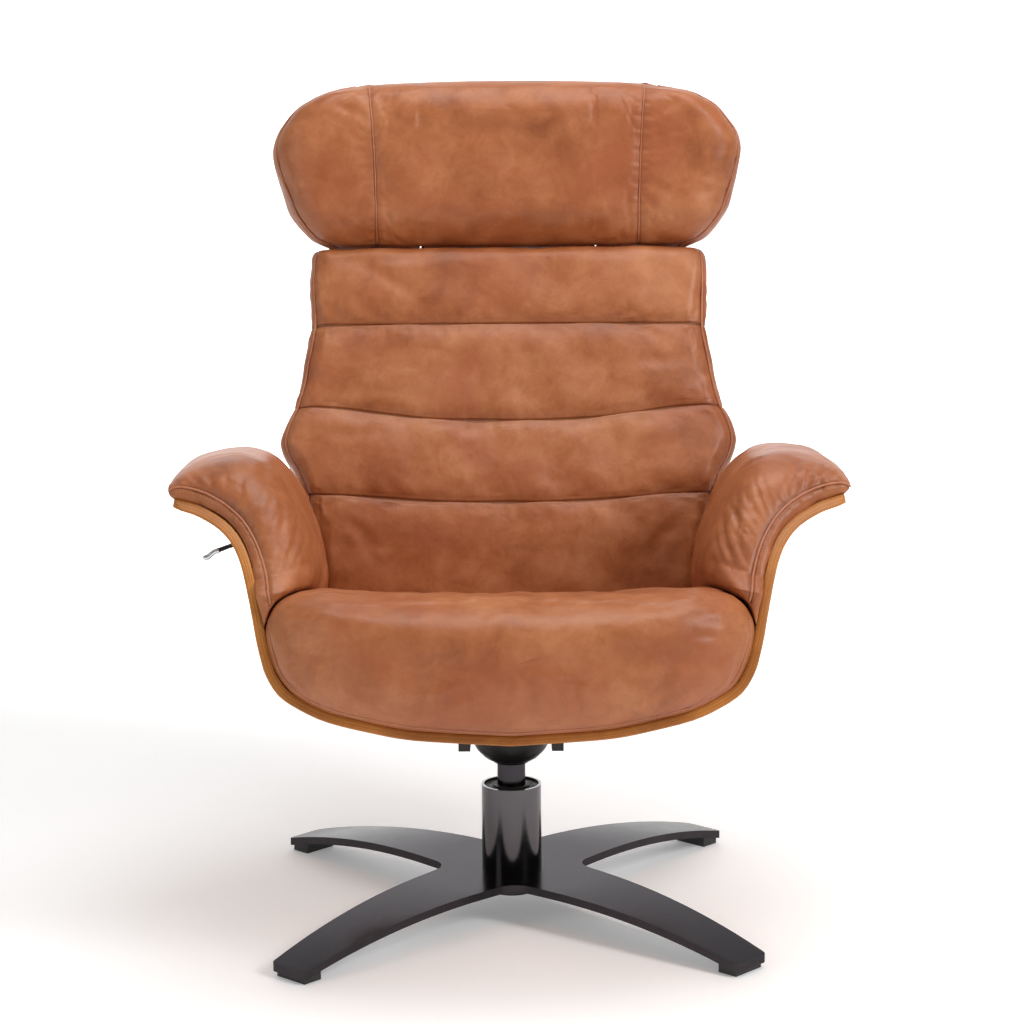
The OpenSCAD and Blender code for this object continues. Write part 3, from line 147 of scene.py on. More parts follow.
def dense(low, high, step, spots, reach, fine):
    """Places from low to high a step apart, and only fine apart within reach of a spot."""
    q = np.linspace(low, high, 4001)
    d = np.abs(q[:, None] - np.asarray(spots)).min(1)
    gap = fine + (step - fine) * np.clip((d - reach) / reach, 0, 1)
    count = np.concatenate([[0], np.cumsum((q[1] - q[0]) / gap[1:])])
    return np.interp(np.linspace(0, count[-1], int(math.ceil(count[-1])) + 1), count, q)


def waves(p, size, seed):
    """Soft noise about zero: the sum of fourteen bent sine waves in many directions."""
    rng = np.random.default_rng(seed)
    way = unit(rng.normal(size=(14, 3))) * (rng.uniform(0.6, 1.7, 14) * 2 * math.pi / size)[:, None]
    bend = 0.8 * np.sin(p @ rng.normal(size=(3, 14)) * 1.3 / size + rng.uniform(0, 6.3, 14))
    return np.sin(p @ way.T + rng.uniform(0, 6.3, 14) + bend).sum(1) / 14 ** 0.5


# Meshes
NO_TRIS = np.zeros((0, 3), int)


def grid(rows, cols, wrap):
    """Four-sided faces between the neighbours of a grid of points."""
    i = np.arange(rows - 1)[:, None] * cols
    j = np.arange(cols if wrap else cols - 1)[None]
    k = (j + 1) % cols
    return np.stack([i + j, i + k, i + cols + k, i + cols + j], -1).reshape(-1, 4)


def closed_skin(rings):
    """Rings joined each to the next, with a fan to the middle of each end ring."""
    rows, cols = rings.shape[:2]
    v = np.vstack([rings.reshape(-1, 3), rings[0].mean(0), rings[-1].mean(0)])
    a = np.arange(cols)
    b = (a + 1) % cols
    n, last = rows * cols, (rows - 1) * cols
    tris = np.vstack([np.stack([b, a, np.full(cols, n)], -1),
                      np.stack([last + a, last + b, np.full(cols, n + 1)], -1)])
    return v, grid(rows, cols, True), tris


def zipped_skin(rings, middle):
    """Rings joined each to the next. Each end ring closes flat, outwards from its middle column."""
    rows, cols = rings.shape[:2]
    q = np.arange(cols // 2)
    a, b = (middle + q) % cols, (middle - 1 - q) % cols
    cap = np.stack([a[:-1], a[1:], b[1:], b[:-1]], -1)
    quads = np.vstack([grid(rows, cols, True), cap[:, ::-1], (rows - 1) * cols + cap])
    return rings.reshape(-1, 3), quads, NO_TRIS


def face_normals(v, faces):
    """The cross product of a face's sides or diagonals."""
    if faces.shape[1] == 4:
        return np.cross(v[faces[:, 2]] - v[faces[:, 0]], v[faces[:, 3]] - v[faces[:, 1]])
    return np.cross(v[faces[:, 1]] - v[faces[:, 0]], v[faces[:, 2]] - v[faces[:, 0]])


def vertex_normals(v, quads, tris):
    """At each point, the sum of the normals of the faces round it, made one long."""
    n = np.zeros_like(v)
    for faces in (quads, tris):
        fn = face_normals(v, faces)
        for k in range(faces.shape[1]):
            for axis in range(3):
                n[:, axis] += np.bincount(faces[:, k], fn[:, axis], len(v))
    return unit(n)


def outward(v, quads, tris):
    """Faces turned to look out: the volume that they enclose comes out above zero."""
    total = sum((v[f].mean(1) * face_normals(v, f)).sum() for f in (quads, tris) if len(f))
    return (quads, tris) if total > 0 else (quads[:, ::-1], tris[:, ::-1])


def make(name, v, quads, tris, material, seam=None, uv=None):
    """A smooth mesh object from arrays in metres, with its seam attribute of painted shade or UV map."""
    mesh = bpy.data.meshes.new(name)
    mesh.from_pydata(v.tolist(), [], quads.tolist() + tris.tolist())
    if seam is not None:
        layer = mesh.attributes.new("seam", "FLOAT", "POINT")
        layer.data.foreach_set("value", np.asarray(seam, np.float32))
    if uv is not None:
        layer = mesh.uv_layers.new(name="UVMap")
        corner = np.empty(len(mesh.loops), int)
        mesh.loops.foreach_get("vertex_index", corner)
        layer.data.foreach_set("uv", np.asarray(uv, np.float32)[corner].ravel())
    mesh.polygons.foreach_set("use_smooth", np.ones(len(mesh.polygons), bool))
    mesh.update()
    mesh.materials.append(material)
    piece = bpy.data.objects.new(name, mesh)
    bpy.context.collection.objects.link(piece)
    return piece


def tube(path, r, sides=8):
    """A circle carried square to a path, with a low cone on each end. One side lies in the path's plane."""
    p = np.asarray(path, float)
    t = unit(np.gradient(p, axis=0))
    side = unit(np.cross(t, np.linalg.svd(t, full_matrices=False)[2][-1]))
    a = np.linspace(0, 2 * math.pi, sides, endpoint=False)[None, :, None]
    r = np.broadcast_to(np.asarray(r, float), (len(p),))[:, None, None]
    rings = p[:, None] + r * (np.cos(a) * side[:, None] + np.sin(a) * np.cross(side, t)[:, None])
    v, quads, tris = closed_skin(rings)
    v[-2] -= t[0] * r[0, 0, 0] * 0.5
    v[-1] += t[-1] * r[-1, 0, 0] * 0.5
    return (v, *outward(v, quads, tris))


def join(parts):
    """Several meshes as one, each one's point numbers raised by those before it."""
    starts = np.concatenate([[0], np.cumsum([len(p[0]) for p in parts])])
    return (np.vstack([p[0] for p in parts]), np.vstack([p[1] + n for p, n in zip(parts, starts)]),
            np.vstack([p[2] + n for p, n in zip(parts, starts)]))


def nearest_on(points, path):
    """Each point's distance to a path and the length along it there.

    The foot of the square line onto each straight stretch is kept within it, and the nearest counts.
    """
    a, ab = path[:-1], np.diff(path, axis=0)
    size = (ab ** 2).sum(1)
    s = along(path)
    far, where = np.empty(len(points)), np.empty(len(points))
    for i in range(0, len(points), 4000):
        p = points[i:i + 4000]
        dot = p @ ab.T - (a * ab).sum(1)
        u = np.clip(dot / size, 0, 1)
        d = (p ** 2).sum(1)[:, None] - 2 * p @ a.T + (a ** 2).sum(1) - 2 * u * dot + u * u * size
        k = d.argmin(1)
        pick = np.arange(len(p)), k
        far[i:i + 4000] = np.sqrt(np.maximum(d[pick], 0))
        where[i:i + 4000] = s[k] + u[pick] * np.sqrt(size[k])
    return far, where


def close_to(points, paths, reach):
    """Which points lie within reach of one of the paths."""
    return np.min([nearest_on(points, path)[0] for path in paths], 0) < reach


# Soft forms
SIM_FRAMES = 20
# The cloth swells as a whole too: this share of its broad swell is taken off again
BROAD_SHARE = 0.85
# Billows start so far from a seam that is sewn later, and are full after so much more
CLEAR_FROM, CLEAR_OVER = 2, 12
# Gathers beside a seam: lengths of the long and the short wave, and of their drift and their swell
GATHER_LONG, GATHER_SHORT, GATHER_DRIFT, GATHER_SWELL = 17, 9.3, 41, 63
# The power that a seam's valley falls off by, and how far from its ends a valley eases
VALLEY_POWER, EASE_RUN = 1.25, 32
# Painted shade along a seam: a narrow share in its crease and a broad share, so wide, in the valley beside it
SHADE_CREASE, SHADE_BESIDE, SHADE_WIDTH = 0.72, 0.28, 10.0


class Form:
    """A soft closed form in its own frame, in millimetres, with seams drawn into it."""

    def __init__(self, rings, skin=None):
        """Takes rings of points, and the closed skin made of them where it isn't a plain one."""
        self.rows, self.cols = rings.shape[:2]
        v, quads, tris = skin or closed_skin(rings)
        self.v = v
        self.quads, self.tris = outward(v, quads, tris)
        # Painted shade along the seams, one share a point, which the leather reads as its seam attribute
        self.seam = np.zeros(len(v))
        self.cords, self.threads = [], []

    def normals(self):
        """The skin's normal at each point, one long."""
        return vertex_normals(self.v, self.quads, self.tris)

    def near(self, path, reach):
        """For each point of the form, its distance to a path and the length along it there."""
        path = even(path, 2.5)
        beside = ((self.v > path.min(0) - reach) & (self.v < path.max(0) + reach)).all(1)
        far, run = np.full(len(self.v), 1e6), np.zeros(len(self.v))
        far[beside], run[beside] = nearest_on(self.v[beside], path)
        return far, run

    def puff(self, pins, rows, cols, most, grow=0.03, force=4.0, mask=1.0, clear=()):
        """Cloth simulation of a coarse copy, pinned along its seams.

        The copy's cloth is cut a little too large and blown up by air pressure, so that it billows
        and gathers between its pins. How far it moves along its normals, less the broad part of it,
        is capped and carried over to the fine form by its place on the grid of rings. It fades to
        nothing at the paths in clear, where a seam follows.
        """
        row_at = np.unique(np.linspace(0, self.rows - 1, rows).round().astype(int))
        col_at = np.unique(np.linspace(0, self.cols, cols, endpoint=False).round().astype(int))
        body = self.v[:self.rows * self.cols].reshape(self.rows, self.cols, 3)
        v, quads, tris = closed_skin(body[np.ix_(row_at, col_at)])
        quads, tris = outward(v, quads, tris)
        piece = make("puff", v * MM, quads, tris, hide)
        held = [int(i) for i in np.where(pins(v))[0]] + [len(v) - 2, len(v) - 1]
        piece.vertex_groups.new(name="pins").add(held, 1.0, "REPLACE")
        cloth = piece.modifiers.new("puff", "CLOTH")
        setting = cloth.settings
        setting.quality, setting.mass, setting.time_scale = 5, 0.3, 1.0
        setting.tension_stiffness = setting.compression_stiffness = 25
        setting.shear_stiffness, setting.bending_stiffness = 8, 0.4
        setting.shrink_min = -grow
        setting.use_pressure, setting.uniform_pressure_force = True, force
        setting.effector_weights.gravity = 0
        setting.vertex_group_mass = "pins"
        cloth.collision_settings.use_collision = False
        for k in range(1, SIM_FRAMES + 1):
            bpy.context.scene.frame_set(k)
        after = np.empty(len(v) * 3)
        piece.evaluated_get(bpy.context.evaluated_depsgraph_get()).data.vertices.foreach_get("co", after)
        bpy.data.objects.remove(piece)
        bpy.context.scene.frame_set(1)
        moved = ((after.reshape(-1, 3) / MM - v) * vertex_normals(v, quads, tris)).sum(1)
        moved = np.clip(np.nan_to_num(moved[:-2]), -4 * most, 4 * most).reshape(len(row_at), len(col_at))
        moved = np.clip(moved - BROAD_SHARE * soften_skin(moved, 10), -most, most)
        moved = np.hstack([moved, moved[:, :1]])
        col_at = np.append(col_at, self.cols)
        fine = np.stack([np.interp(np.arange(self.rows), row_at, line) for line in moved.T], -1)
        fine = np.stack([np.interp(np.arange(self.cols), col_at, line) for line in fine])
        fine = soften_skin(fine, 2)
        fine = np.append(fine.ravel(), np.zeros(len(self.v) - fine.size))
        for path in clear:
            fine = fine * np.clip((self.near(path, 20)[0] - CLEAR_FROM) / CLEAR_OVER, 0, 1)
        self.v = self.v + self.normals() * (fine * mask)[:, None]

    def pull(self, path, depth, width, pucker=0.0, sharp=0.0, seed=1, shade_share=1.0, thin=1.6, ease=0.0):
        """Draws the form in along a path: a soft valley, a sharp crease in it and gathers beside it.

        The valley is shallower by the share ease towards the path's ends. The crease and the valley also get
        painted shade in the seam attribute, by the given share.
        """
        far, run = self.near(path, width * 4)
        wave = np.sin(2 * math.pi * run / GATHER_LONG + 2.2 * np.sin(run / GATHER_DRIFT + seed) + seed) \
            + 0.6 * np.sin(2 * math.pi * run / GATHER_SHORT + seed * 2.1)
        wave *= 0.55 + 0.45 * np.sin(run / GATHER_SWELL + seed * 1.7)
        beside = np.exp(-((far - width * 0.8) / (width * 0.9)) ** 2) * np.clip(far / (width * 0.4), 0, 1)
        end = along(even(path, 2.5))[-1]
        deep = depth * (1 - ease * np.exp(-(np.minimum(run, end - run) / EASE_RUN) ** 2))
        valley, crease = np.exp(-(far / width) ** VALLEY_POWER), np.exp(-(far / thin) ** 2)
        self.v = self.v + self.normals() * (pucker * wave * beside - deep * valley - sharp * crease)[:, None]
        # Painted shade in the crease and in the valley beside it, kept as the seam attribute
        self.seam = np.maximum(self.seam, shade_share * (SHADE_CREASE * np.exp(-(far / (thin * 1.2)) ** 2)
                                                  + SHADE_BESIDE * np.exp(-(far / SHADE_WIDTH) ** 2)))

    def ripple(self, amount, size, seed, mask=1.0):
        """Moves the form in and out by soft noise."""
        self.v = self.v + self.normals() * (waves(self.v, size, seed) * amount * mask)[:, None]

    def fold(self, path, depth, width):
        """A soft crease with a low ridge on each side, both bell curves, which fades at both ends."""
        path = np.asarray(path, float)
        far, run = self.near(path, width * 4)
        fade = np.sin(np.clip(run / along(path)[-1], 0, 1) * math.pi) ** 0.7
        ridge = 0.45 * np.exp(-((far - 1.7 * width) / width) ** 2)
        self.v = self.v - self.normals() * (depth * fade * (np.exp(-(far / width) ** 2) - ridge))[:, None]

    def touch(self, p, count=4):
        """The skin's mean place and normal near each point, from its nearest few points."""
        d = (p ** 2).sum(1)[:, None] - 2 * p @ self.v.T + (self.v ** 2).sum(1)
        k = np.argpartition(d, count, axis=1)[:, :count]
        w = 1 / (np.sqrt(np.maximum(np.take_along_axis(d, k, 1), 0)) + 0.3)
        w = (w / w.sum(1, keepdims=True))[..., None]
        return (self.v[k] * w).sum(1), unit((self.normals()[k] * w).sum(1))

    def lay(self, path, lift):
        """A path moved along the skin's normals until it lies on the skin, plus a lift."""
        q, m = self.touch(path)
        return path + m * (((q - path) * m).sum(1, keepdims=True) + lift)

    def cord(self, path, r=2.0, lift=0.3, step=3.5):
        """A round welt cord along a path on the skin."""
        p = self.lay(even(path, step), lift)
        for _ in range(2):
            soften_run(p)
        self.cords.append(tube(p, r))

    def stitch(self, path, aside, step=6.5, length=3.6, r=0.42):
        """Thread stitches beside a path: four square rings each, whose ends dip into the skin."""
        p = even(path, step)
        t = unit(np.gradient(p, axis=0))[1:-1]
        p = p[1:-1]
        m = self.touch(p)[1]
        side = unit(np.cross(m, t))
        c = self.lay(p + side * aside, 0.1)
        run = np.array([-0.5, -0.25, 0.25, 0.5])[None, :, None, None] * length
        dip = np.array([-0.6, 0.1, 0.1, -0.6])[None, :, None, None]
        a = (np.arange(4) * math.pi / 2)[None, None, :, None]
        t, m, side, c = (k[:, None, None] for k in (t, m, side, c))
        v = c + t * run + m * (dip + r * np.sin(a)) + side * r * np.cos(a)
        one = np.vstack([grid(4, 4, True), [[3, 2, 1, 0], [12, 13, 14, 15]]])
        quads = (one[None] + 16 * np.arange(len(v))[:, None, None]).reshape(-1, 4)
        self.threads.append((v.reshape(-1, 3), *outward(v.reshape(-1, 3), quads, NO_TRIS)))

    def build(self, name, to_world, body, node):
        """The form, its cords and its stitches as pieces that ride on a body."""
        piece = make(name, to_world(self.v), self.quads, self.tris, hide, self.seam)
        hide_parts(node)
        pieces = [piece]
        if self.cords:
            v, q, t = join(self.cords)
            # The welt takes the seam attribute at a tenth all over, which darkens it a little and evenly
            pieces.append(make(name + "_welt", to_world(v), q, t, hide_welt, np.full(len(v), 0.1)))
        if self.threads:
            v, q, t = join(self.threads)
            pieces.append(make(name + "_stitches", to_world(v), q, t, thread))
        for k in pieces:
            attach(k, body)


# Materials
class Value:
    """A number in a shader, with sums and products written as usual."""

    def __init__(self, finish, socket):
        self.finish, self.socket = finish, socket

    def sum(self, kind, a, b=0.0):
        """One Math node on two values or numbers."""
        n = self.finish.node("ShaderNodeMath", {"operation": kind}, {0: a, 1: b})
        return Value(self.finish, n.outputs[0])

    def __add__(self, other):
        return self.sum("ADD", self, other)

    def __sub__(self, other):
        return self.sum("SUBTRACT", self, other)

    def __rsub__(self, other):
        return self.sum("SUBTRACT", other, self)

    def __mul__(self, other):
        return self.sum("MULTIPLY", self, other)

    def __lt__(self, other):
        return self.sum("LESS_THAN", self, other)

    def __abs__(self):
        return self.sum("ABSOLUTE", self)

    __radd__, __rmul__ = __add__, __mul__

    def fraction(self):
        """What is left over from the whole number below."""
        return self.sum("FRACT", self)

    def span(self, low, high, to_low=0.0, to_high=1.0):
        """Carries low to high evenly over to to_low to to_high, and no further."""
        n = self.finish.node("ShaderNodeMapRange", {}, {"Value": self, "From Min": low, "From Max": high,
                                                        "To Min": to_low, "To Max": to_high})
        return Value(self.finish, n.outputs["Result"])


class Finish:
    """A principled material whose colour, roughness and relief come from nodes."""

    def __init__(self, name, **fixed):
        self.material = bpy.data.materials.new(name)
        self.material.use_nodes = True
        self.tree = self.material.node_tree
        self.surface = self.tree.nodes["Principled BSDF"]
        for key, value in fixed.items():
            self.surface.inputs[key.replace("_", " ")].default_value = value
        self.place = self.node("ShaderNodeTexCoord").outputs["Object"]

    def node(self, kind, settings=None, sockets=None):
        """A node of a type, with its settings made first and then its sockets' values or links."""
        n = self.tree.nodes.new(kind)
        for key, value in (settings or {}).items():
            setattr(n, key, value)
        for key, value in (sockets or {}).items():
            self.put(n.inputs[key], value)
        return n

    def put(self, socket, value):
        """A link into a socket, or a plain value on it."""
        value = value.socket if isinstance(value, Value) else value
        if isinstance(value, bpy.types.NodeSocket):
            self.tree.links.new(value, socket)
        else:
            socket.default_value = value

    def stretch(self, scale, turn=(0, 0, 0)):
        """The place on the piece, scaled and turned, for a pattern that runs one way."""
        sockets = {"Vector": self.place, "Scale": scale, "Rotation": turn}
        return self.node("ShaderNodeMapping", {}, sockets).outputs[0]

    def noise(self, scale, detail=3.0, rough=0.55, at=None, bend=0.0):
        """Cloudy noise of so many clouds a metre."""
        return Value(self, self.node("ShaderNodeTexNoise", {}, {
            "Vector": at or self.place, "Scale": scale, "Detail": detail, "Roughness": rough,
            "Distortion": bend}).outputs["Fac"])

    def cells(self, scale):
        """Distance to the edge of the cell that a place is in."""
        return Value(self, self.node("ShaderNodeTexVoronoi", {"feature": "DISTANCE_TO_EDGE"},
                                     {"Vector": self.place, "Scale": scale}).outputs["Distance"])

    def blend(self, share, a, b):
        """Colour a where the share is 0, and colour b where it is 1."""
        return self.node("ShaderNodeMix", {"data_type": "RGBA"}, {"Factor": share, 6: a, 7: b}).outputs[2]

    def relief(self, height, distance, strength, under=None):
        """A normal from a height, on top of another relief where one is given."""
        sockets = {"Height": height, "Distance": distance, "Strength": strength}
        return self.node("ShaderNodeBump", {}, sockets | ({"Normal": under} if under else {})).outputs[0]

    def read(self, name):
        """An attribute of the piece's own mesh."""
        return Value(self, self.node("ShaderNodeAttribute", {"attribute_name": name}).outputs["Fac"])

    def use(self, colour, rough, normal):
        """The finished material, with its colour, roughness and normal linked."""
        for key, value in (("Base Color", colour), ("Roughness", rough), ("Normal", normal)):
            self.put(self.surface.inputs[key], value)
        return self.material


def rgb(r, g, b):
    """A colour given as 0 to 255 on a screen, as linear light."""
    c = np.array([r, g, b]) / 255
    c = np.where(c <= 0.04045, c / 12.92, ((c + 0.055) / 1.055) ** 2.4)
    return (*[float(x) for x in c], 1.0)


def shade(colour, share):
    """A colour times a share."""
    return (*[c * share for c in colour[:3]], 1.0)


def leather(name, base, light, dark, red, rough=0.44):
    """Clouded aniline leather: two sizes of cloud, a redder cloud, painted shade along the seams, pores and
    fine creases.
    """
    mix = Finish(name, Coat_Weight=0.10, Coat_Roughness=0.32, Specular_IOR_Level=0.42)
    cloud = mix.noise(7.5, 4.0, 0.6, bend=0.5)
    patch = mix.noise(27.0, 5.0, 0.65, bend=0.6)
    fine = mix.noise(190.0, 4.0, 0.65)
    tone = cloud * 0.5 + patch * 0.4 + fine * 0.1
    colour = mix.blend(tone.span(0.36, 0.50), dark, base)
    colour = mix.blend(tone.span(0.50, 0.66), colour, light)
    redder = mix.noise(5.0, 3.0, 0.6, mix.stretch((1, 1, 1), (0.4, 0.7, 0)), 0.8)
    colour = mix.blend(redder.span(0.46, 0.66, 0.0, 0.55), colour, red)
    # Painted shade: towards a very dark brown where the seam attribute is high, in the seams' creases and
    # valleys
    colour = mix.blend(mix.read("seam") * 0.62, colour, shade(dark, 0.28))
    height = mix.cells(560.0).span(0.0, 0.35) * 0.10 + mix.noise(48.0, 5.0, 0.6, bend=1.1) * 0.8 \
        + mix.noise(17.0, 3.0, 0.5, bend=0.6) * 1.7
    grain = mix.relief(mix.noise(1300.0, 3.0), 0.0002, 0.5, mix.relief(height, 0.0012, 0.55))
    return mix.use(colour, (patch * 0.6 + fine * 0.4).span(0.3, 0.7, rough - 0.06, rough + 0.10), grain)


def wood(name, base, light, dark, turn=(0, 0, 0)):
    """Lacquered veneer: bent growth rings stretched along the grain, and fine fibres."""
    mix = Finish(name, Coat_Weight=0.15, Coat_Roughness=0.25, Specular_IOR_Level=0.3)
    rings = mix.noise(1.6, 4.0, 0.6, mix.stretch((26.0, 1.1, 26.0), turn), 0.5)
    fibre = mix.noise(14.0, 4.0, 0.7, mix.stretch((30.0, 1.6, 30.0), turn))
    tone = abs((rings * 7.0).fraction() - 0.5) * 0.5 + fibre * 0.9
    colour = mix.blend(tone.span(0.25, 0.6), dark, base)
    colour = mix.blend(tone.span(0.55, 0.9), colour, light)
    return mix.use(colour, fibre.span(0.3, 0.7, 0.30, 0.42), mix.relief(fibre, 0.0003, 0.35))


PLIES = 7.0


def edge_wood(name, base, light, dark):
    """The shell's cut edge: thin plies across the strip's own UV map, dark glue lines and fibres."""
    mix = Finish(name, Coat_Weight=0.10, Coat_Roughness=0.3, Specular_IOR_Level=0.25)
    uv = mix.node("ShaderNodeTexCoord").outputs["UV"]
    across = Value(mix, mix.node("ShaderNodeSeparateXYZ", {}, {"Vector": uv}).outputs["Y"]) * PLIES \
        + mix.noise(40.0, 3.0) * 0.35
    fibre = mix.noise(18.0, 4.0, 0.7, mix.stretch((60.0, 60.0, 60.0)))
    colour = mix.blend(((across * 0.5).fraction() < 0.5) * 0.5, base, light)
    colour = mix.blend((across.fraction() < 0.16) * 0.6, colour, dark)
    colour = mix.blend(fibre.span(0.35, 0.65, 0.0, 0.5), colour, dark)
    colour = mix.blend(mix.noise(11.0, 3.0, 0.6).span(0.35, 0.65, 0.0, 0.6), colour, dark)
    return mix.use(colour, fibre.span(0.3, 0.7, 0.32, 0.48), mix.relief(fibre, 0.0003, 0.4))


def metal(name, colour, rough, metallic=1.0, brushed=0.0, spots=0.06, edge=1.0):
    """Metal or its plating: faint clouds, streaks in the roughness and fine brush lines.

    Its reflection at a glancing angle is dimmed to the share edge.
    """
    mix = Finish(name, Metallic=metallic, Specular_Tint=(edge, edge, edge, 1))
    soft = mix.noise(40.0, 4.0, 0.6)
    streak = mix.noise(30.0, 3.0, 0.6, mix.stretch((6.0, 6.0, 90.0)))
    lines = mix.noise(60.0, 2.0, 0.6, mix.stretch((1.0, 1.0, 60.0)))
    tint = mix.blend(soft.span(0.3, 0.7), shade(colour, 1 - 2.2 * spots), colour)
    dull = ((soft + streak) * 0.5).span(0.3, 0.7, max(0.03, rough - 0.05), rough + 0.06)
    return mix.use(tint, dull, mix.relief(lines, 0.00012, 0.15 + brushed))


def plastic(name, colour, rough=0.5, grain=900.0):
    """Moulded plastic or thread: faint clouds and a fine grain."""
    mix = Finish(name)
    soft = mix.noise(60.0, 4.0, 0.6)
    tint = mix.blend(soft.span(0.3, 0.7), shade(colour, 0.75), colour)
    dull = soft.span(0.3, 0.7, rough - 0.06, rough + 0.08)
    return mix.use(tint, dull, mix.relief(mix.noise(grain, 2.0), 0.0002, 0.3))


hide = leather("leather_tan", rgb(167, 98, 55), rgb(186, 120, 77), rgb(142, 77, 39), rgb(154, 78, 42))
hide_welt = leather("leather_welt", rgb(182, 112, 76), rgb(198, 130, 93), rgb(164, 94, 60),
                    rgb(172, 96, 62), 0.36)
thread = plastic("thread_tan", rgb(196, 138, 100), 0.6, 2500.0)
veneer = wood("veneer_walnut", rgb(196, 124, 60), rgb(216, 150, 82), rgb(150, 86, 37))
ply_edge = edge_wood("veneer_edge", rgb(204, 130, 58), rgb(230, 164, 90), rgb(130, 70, 26))
plywood = wood("plywood_bare", rgb(190, 150, 105), rgb(208, 172, 128), rgb(160, 120, 80), (0, 0, 1.57))
gunmetal = metal("gunmetal", (0.055, 0.050, 0.055, 1), 0.19, 1.0, 0.0, edge=0.55)
nickel = metal("column_nickel", (0.115, 0.108, 0.114, 1), 0.13, 1.0, 0.0)
blacksteel = metal("black_steel", (0.022, 0.021, 0.022, 1), 0.36, 0.6, 0.05)
zinc = metal("zinc_steel", (0.55, 0.56, 0.57, 1), 0.34, 1.0, 0.2)
chrome = metal("chrome_plate", (0.80, 0.81, 0.82, 1), 0.10, 1.0, 0.0, 0.02)
blackplastic = plastic("black_plastic", (0.022, 0.022, 0.022, 1), 0.5)
nylon = plastic("nylon_white", (0.72, 0.70, 0.64, 1), 0.42)
BY_SLOT = {"leather": hide, "shell_veneer": veneer, "plywood": plywood, "gunmetal": gunmetal,
           "black_paint": blacksteel, "black_plastic": blackplastic, "nylon": nylon,
           "zinc_steel": zinc, "chrome": chrome}
for entry in frame["record"]["subparts"]:
    node = frame["nodes"].get(entry["node"])
    if node is not None:
        finish = nickel if entry["node"] == "column_tube" else BY_SLOT[entry["material_slot"]]
        node.data.materials.clear()
        node.data.materials.append(finish)

# The shell's outline, as in the frame. Its cross section goes from the middle out, and its front and
# rear edges go from below up, as shares of its reach in that direction and of the arm's rise
SHELL_T = 12.0
REACH, RISE_ARM, FRONT_REACH, REAR_REACH = 417.0, 280.0, -366, 186
PROFILE = np.array([[0, 0], [0.187, 0.016], [0.3, 0.03], [0.403, 0.059], [0.525, 0.104],
                    [0.608, 0.159], [0.669, 0.221], [0.705, 0.304], [0.721, 0.375], [0.735, 0.456],
                    [0.746, 0.536], [0.763, 0.646], [0.785, 0.761], [0.813, 0.843], [0.855, 0.907],
                    [0.917, 0.958], [0.964, 0.981], [1, 0.996]]) * [REACH, RISE_ARM]
outer_line = smooth(PROFILE, 3)
line_t = np.gradient(outer_line, axis=0)
line_t[1:-1] = outer_line[2:] - outer_line[:-2]
line_n = unit(np.stack([-line_t[:, 1], line_t[:, 0]], -1))
FRONT = smooth(np.array([[1.013, -0.1], [1, 0.018], [0.967, 0.304], [0.902, 0.561], [0.806, 0.786],
                         [0.708, 0.939], [0.664, 1], [0.61, 1.08]]) * [FRONT_REACH, RISE_ARM], 3)
REAR = smooth(np.array([[1, -0.1], [1, 0.018], [0.99, 0.143], [0.925, 0.393], [0.806, 0.714],
                        [0.688, 1], [0.66, 1.08]]) * [REAR_REACH, RISE_ARM], 3)
CORNER_R, CORNER_OUT = 52.0, 5.0
ARM_X = REACH - CORNER_R
# Inside the corners this large number leaves the side profile alone
NO_CORNER = -900


def shell_line(d):
    """Half the shell's cross section, moved in from its outer face by d along its normals."""
    q = outer_line + d * line_n
    q[0] = [0, d]
    return q


def front_at(z):
    """Where the shell's front edge is at a height, before its corners."""
    return np.interp(z, FRONT[:, 1], FRONT[:, 0])


def rear_at(z):
    """Where the shell's rear edge is at a height, before its corners."""
    return np.interp(z, REAR[:, 1], REAR[:, 0])


def corner_in(x):
    """How far an arm's round corner draws the shell's edge in at x: the fall of a quarter circle."""
    fall = CORNER_R * quarter(np.clip((np.abs(x) - ARM_X) / (CORNER_R + CORNER_OUT), 0, 1))
    return np.where(np.abs(x) > ARM_X, fall, NO_CORNER)


corner_z = np.interp(ARM_X, outer_line[:, 0], outer_line[:, 1])


def front_edge(x, z):
    """The shell's front edge: the side profile, or the arm's corner where that is farther in."""
    return np.maximum(front_at(z), front_at(corner_z) + corner_in(x))


def rear_edge(x, z):
    """The shell's rear edge, in the same way."""
    return np.minimum(rear_at(z), rear_at(corner_z) - corner_in(x))


# Seat cushion
GAP = 0.5
SEAT_FRONT, CREST, SEAT_LOW, CREST_Y, SEAT_REAR = 415.0, 176.0, 118.0, -325.0, 104.0
NOSE_FOOT, NOSE_MID, NOSE_POWER = 365.6, 98.0, 0.48
# The cushion's side meets the shell's bed at this share of the height along its middle
SIDE_SHARE = 0.78
TOP_POINTS, LOW_POINTS, CORNER_ROUNDS, REAR_R = 210, 100, 12, 26
bed = shell_line(SHELL_T + GAP)
bed_seat = bed[bed[:, 1] < CREST]
top_share = table([[0, 1], [0.29, 0.80], [0.62, 0.38], [0.90, 0.06], [1, 0]])
crown = table([[0, 0], [0.27, 0.006], [0.5, 0.017], [0.70, 0.032], [0.82, 0.034],
               [0.91, 0.006], [0.97, -0.07], [1, -0.20]])


def seat_top(y):
    """The cushion's height along its middle: it falls from the crest to the low rear by a lookup."""
    return SEAT_LOW + (CREST - SEAT_LOW) * top_share((y - CREST_Y) / (SEAT_REAR - CREST_Y))


def seat_half(y):
    """Half the cushion's width, where its side meets the shell's bed."""
    return np.interp(SIDE_SHARE * seat_top(y), bed_seat[:, 1], bed_seat[:, 0])


def seat_high(x, y):
    """The cushion's top: its middle height, raised or lowered across by a lookup of shares."""
    return seat_top(y) * (1 + crown(np.abs(x) / seat_half(y)))


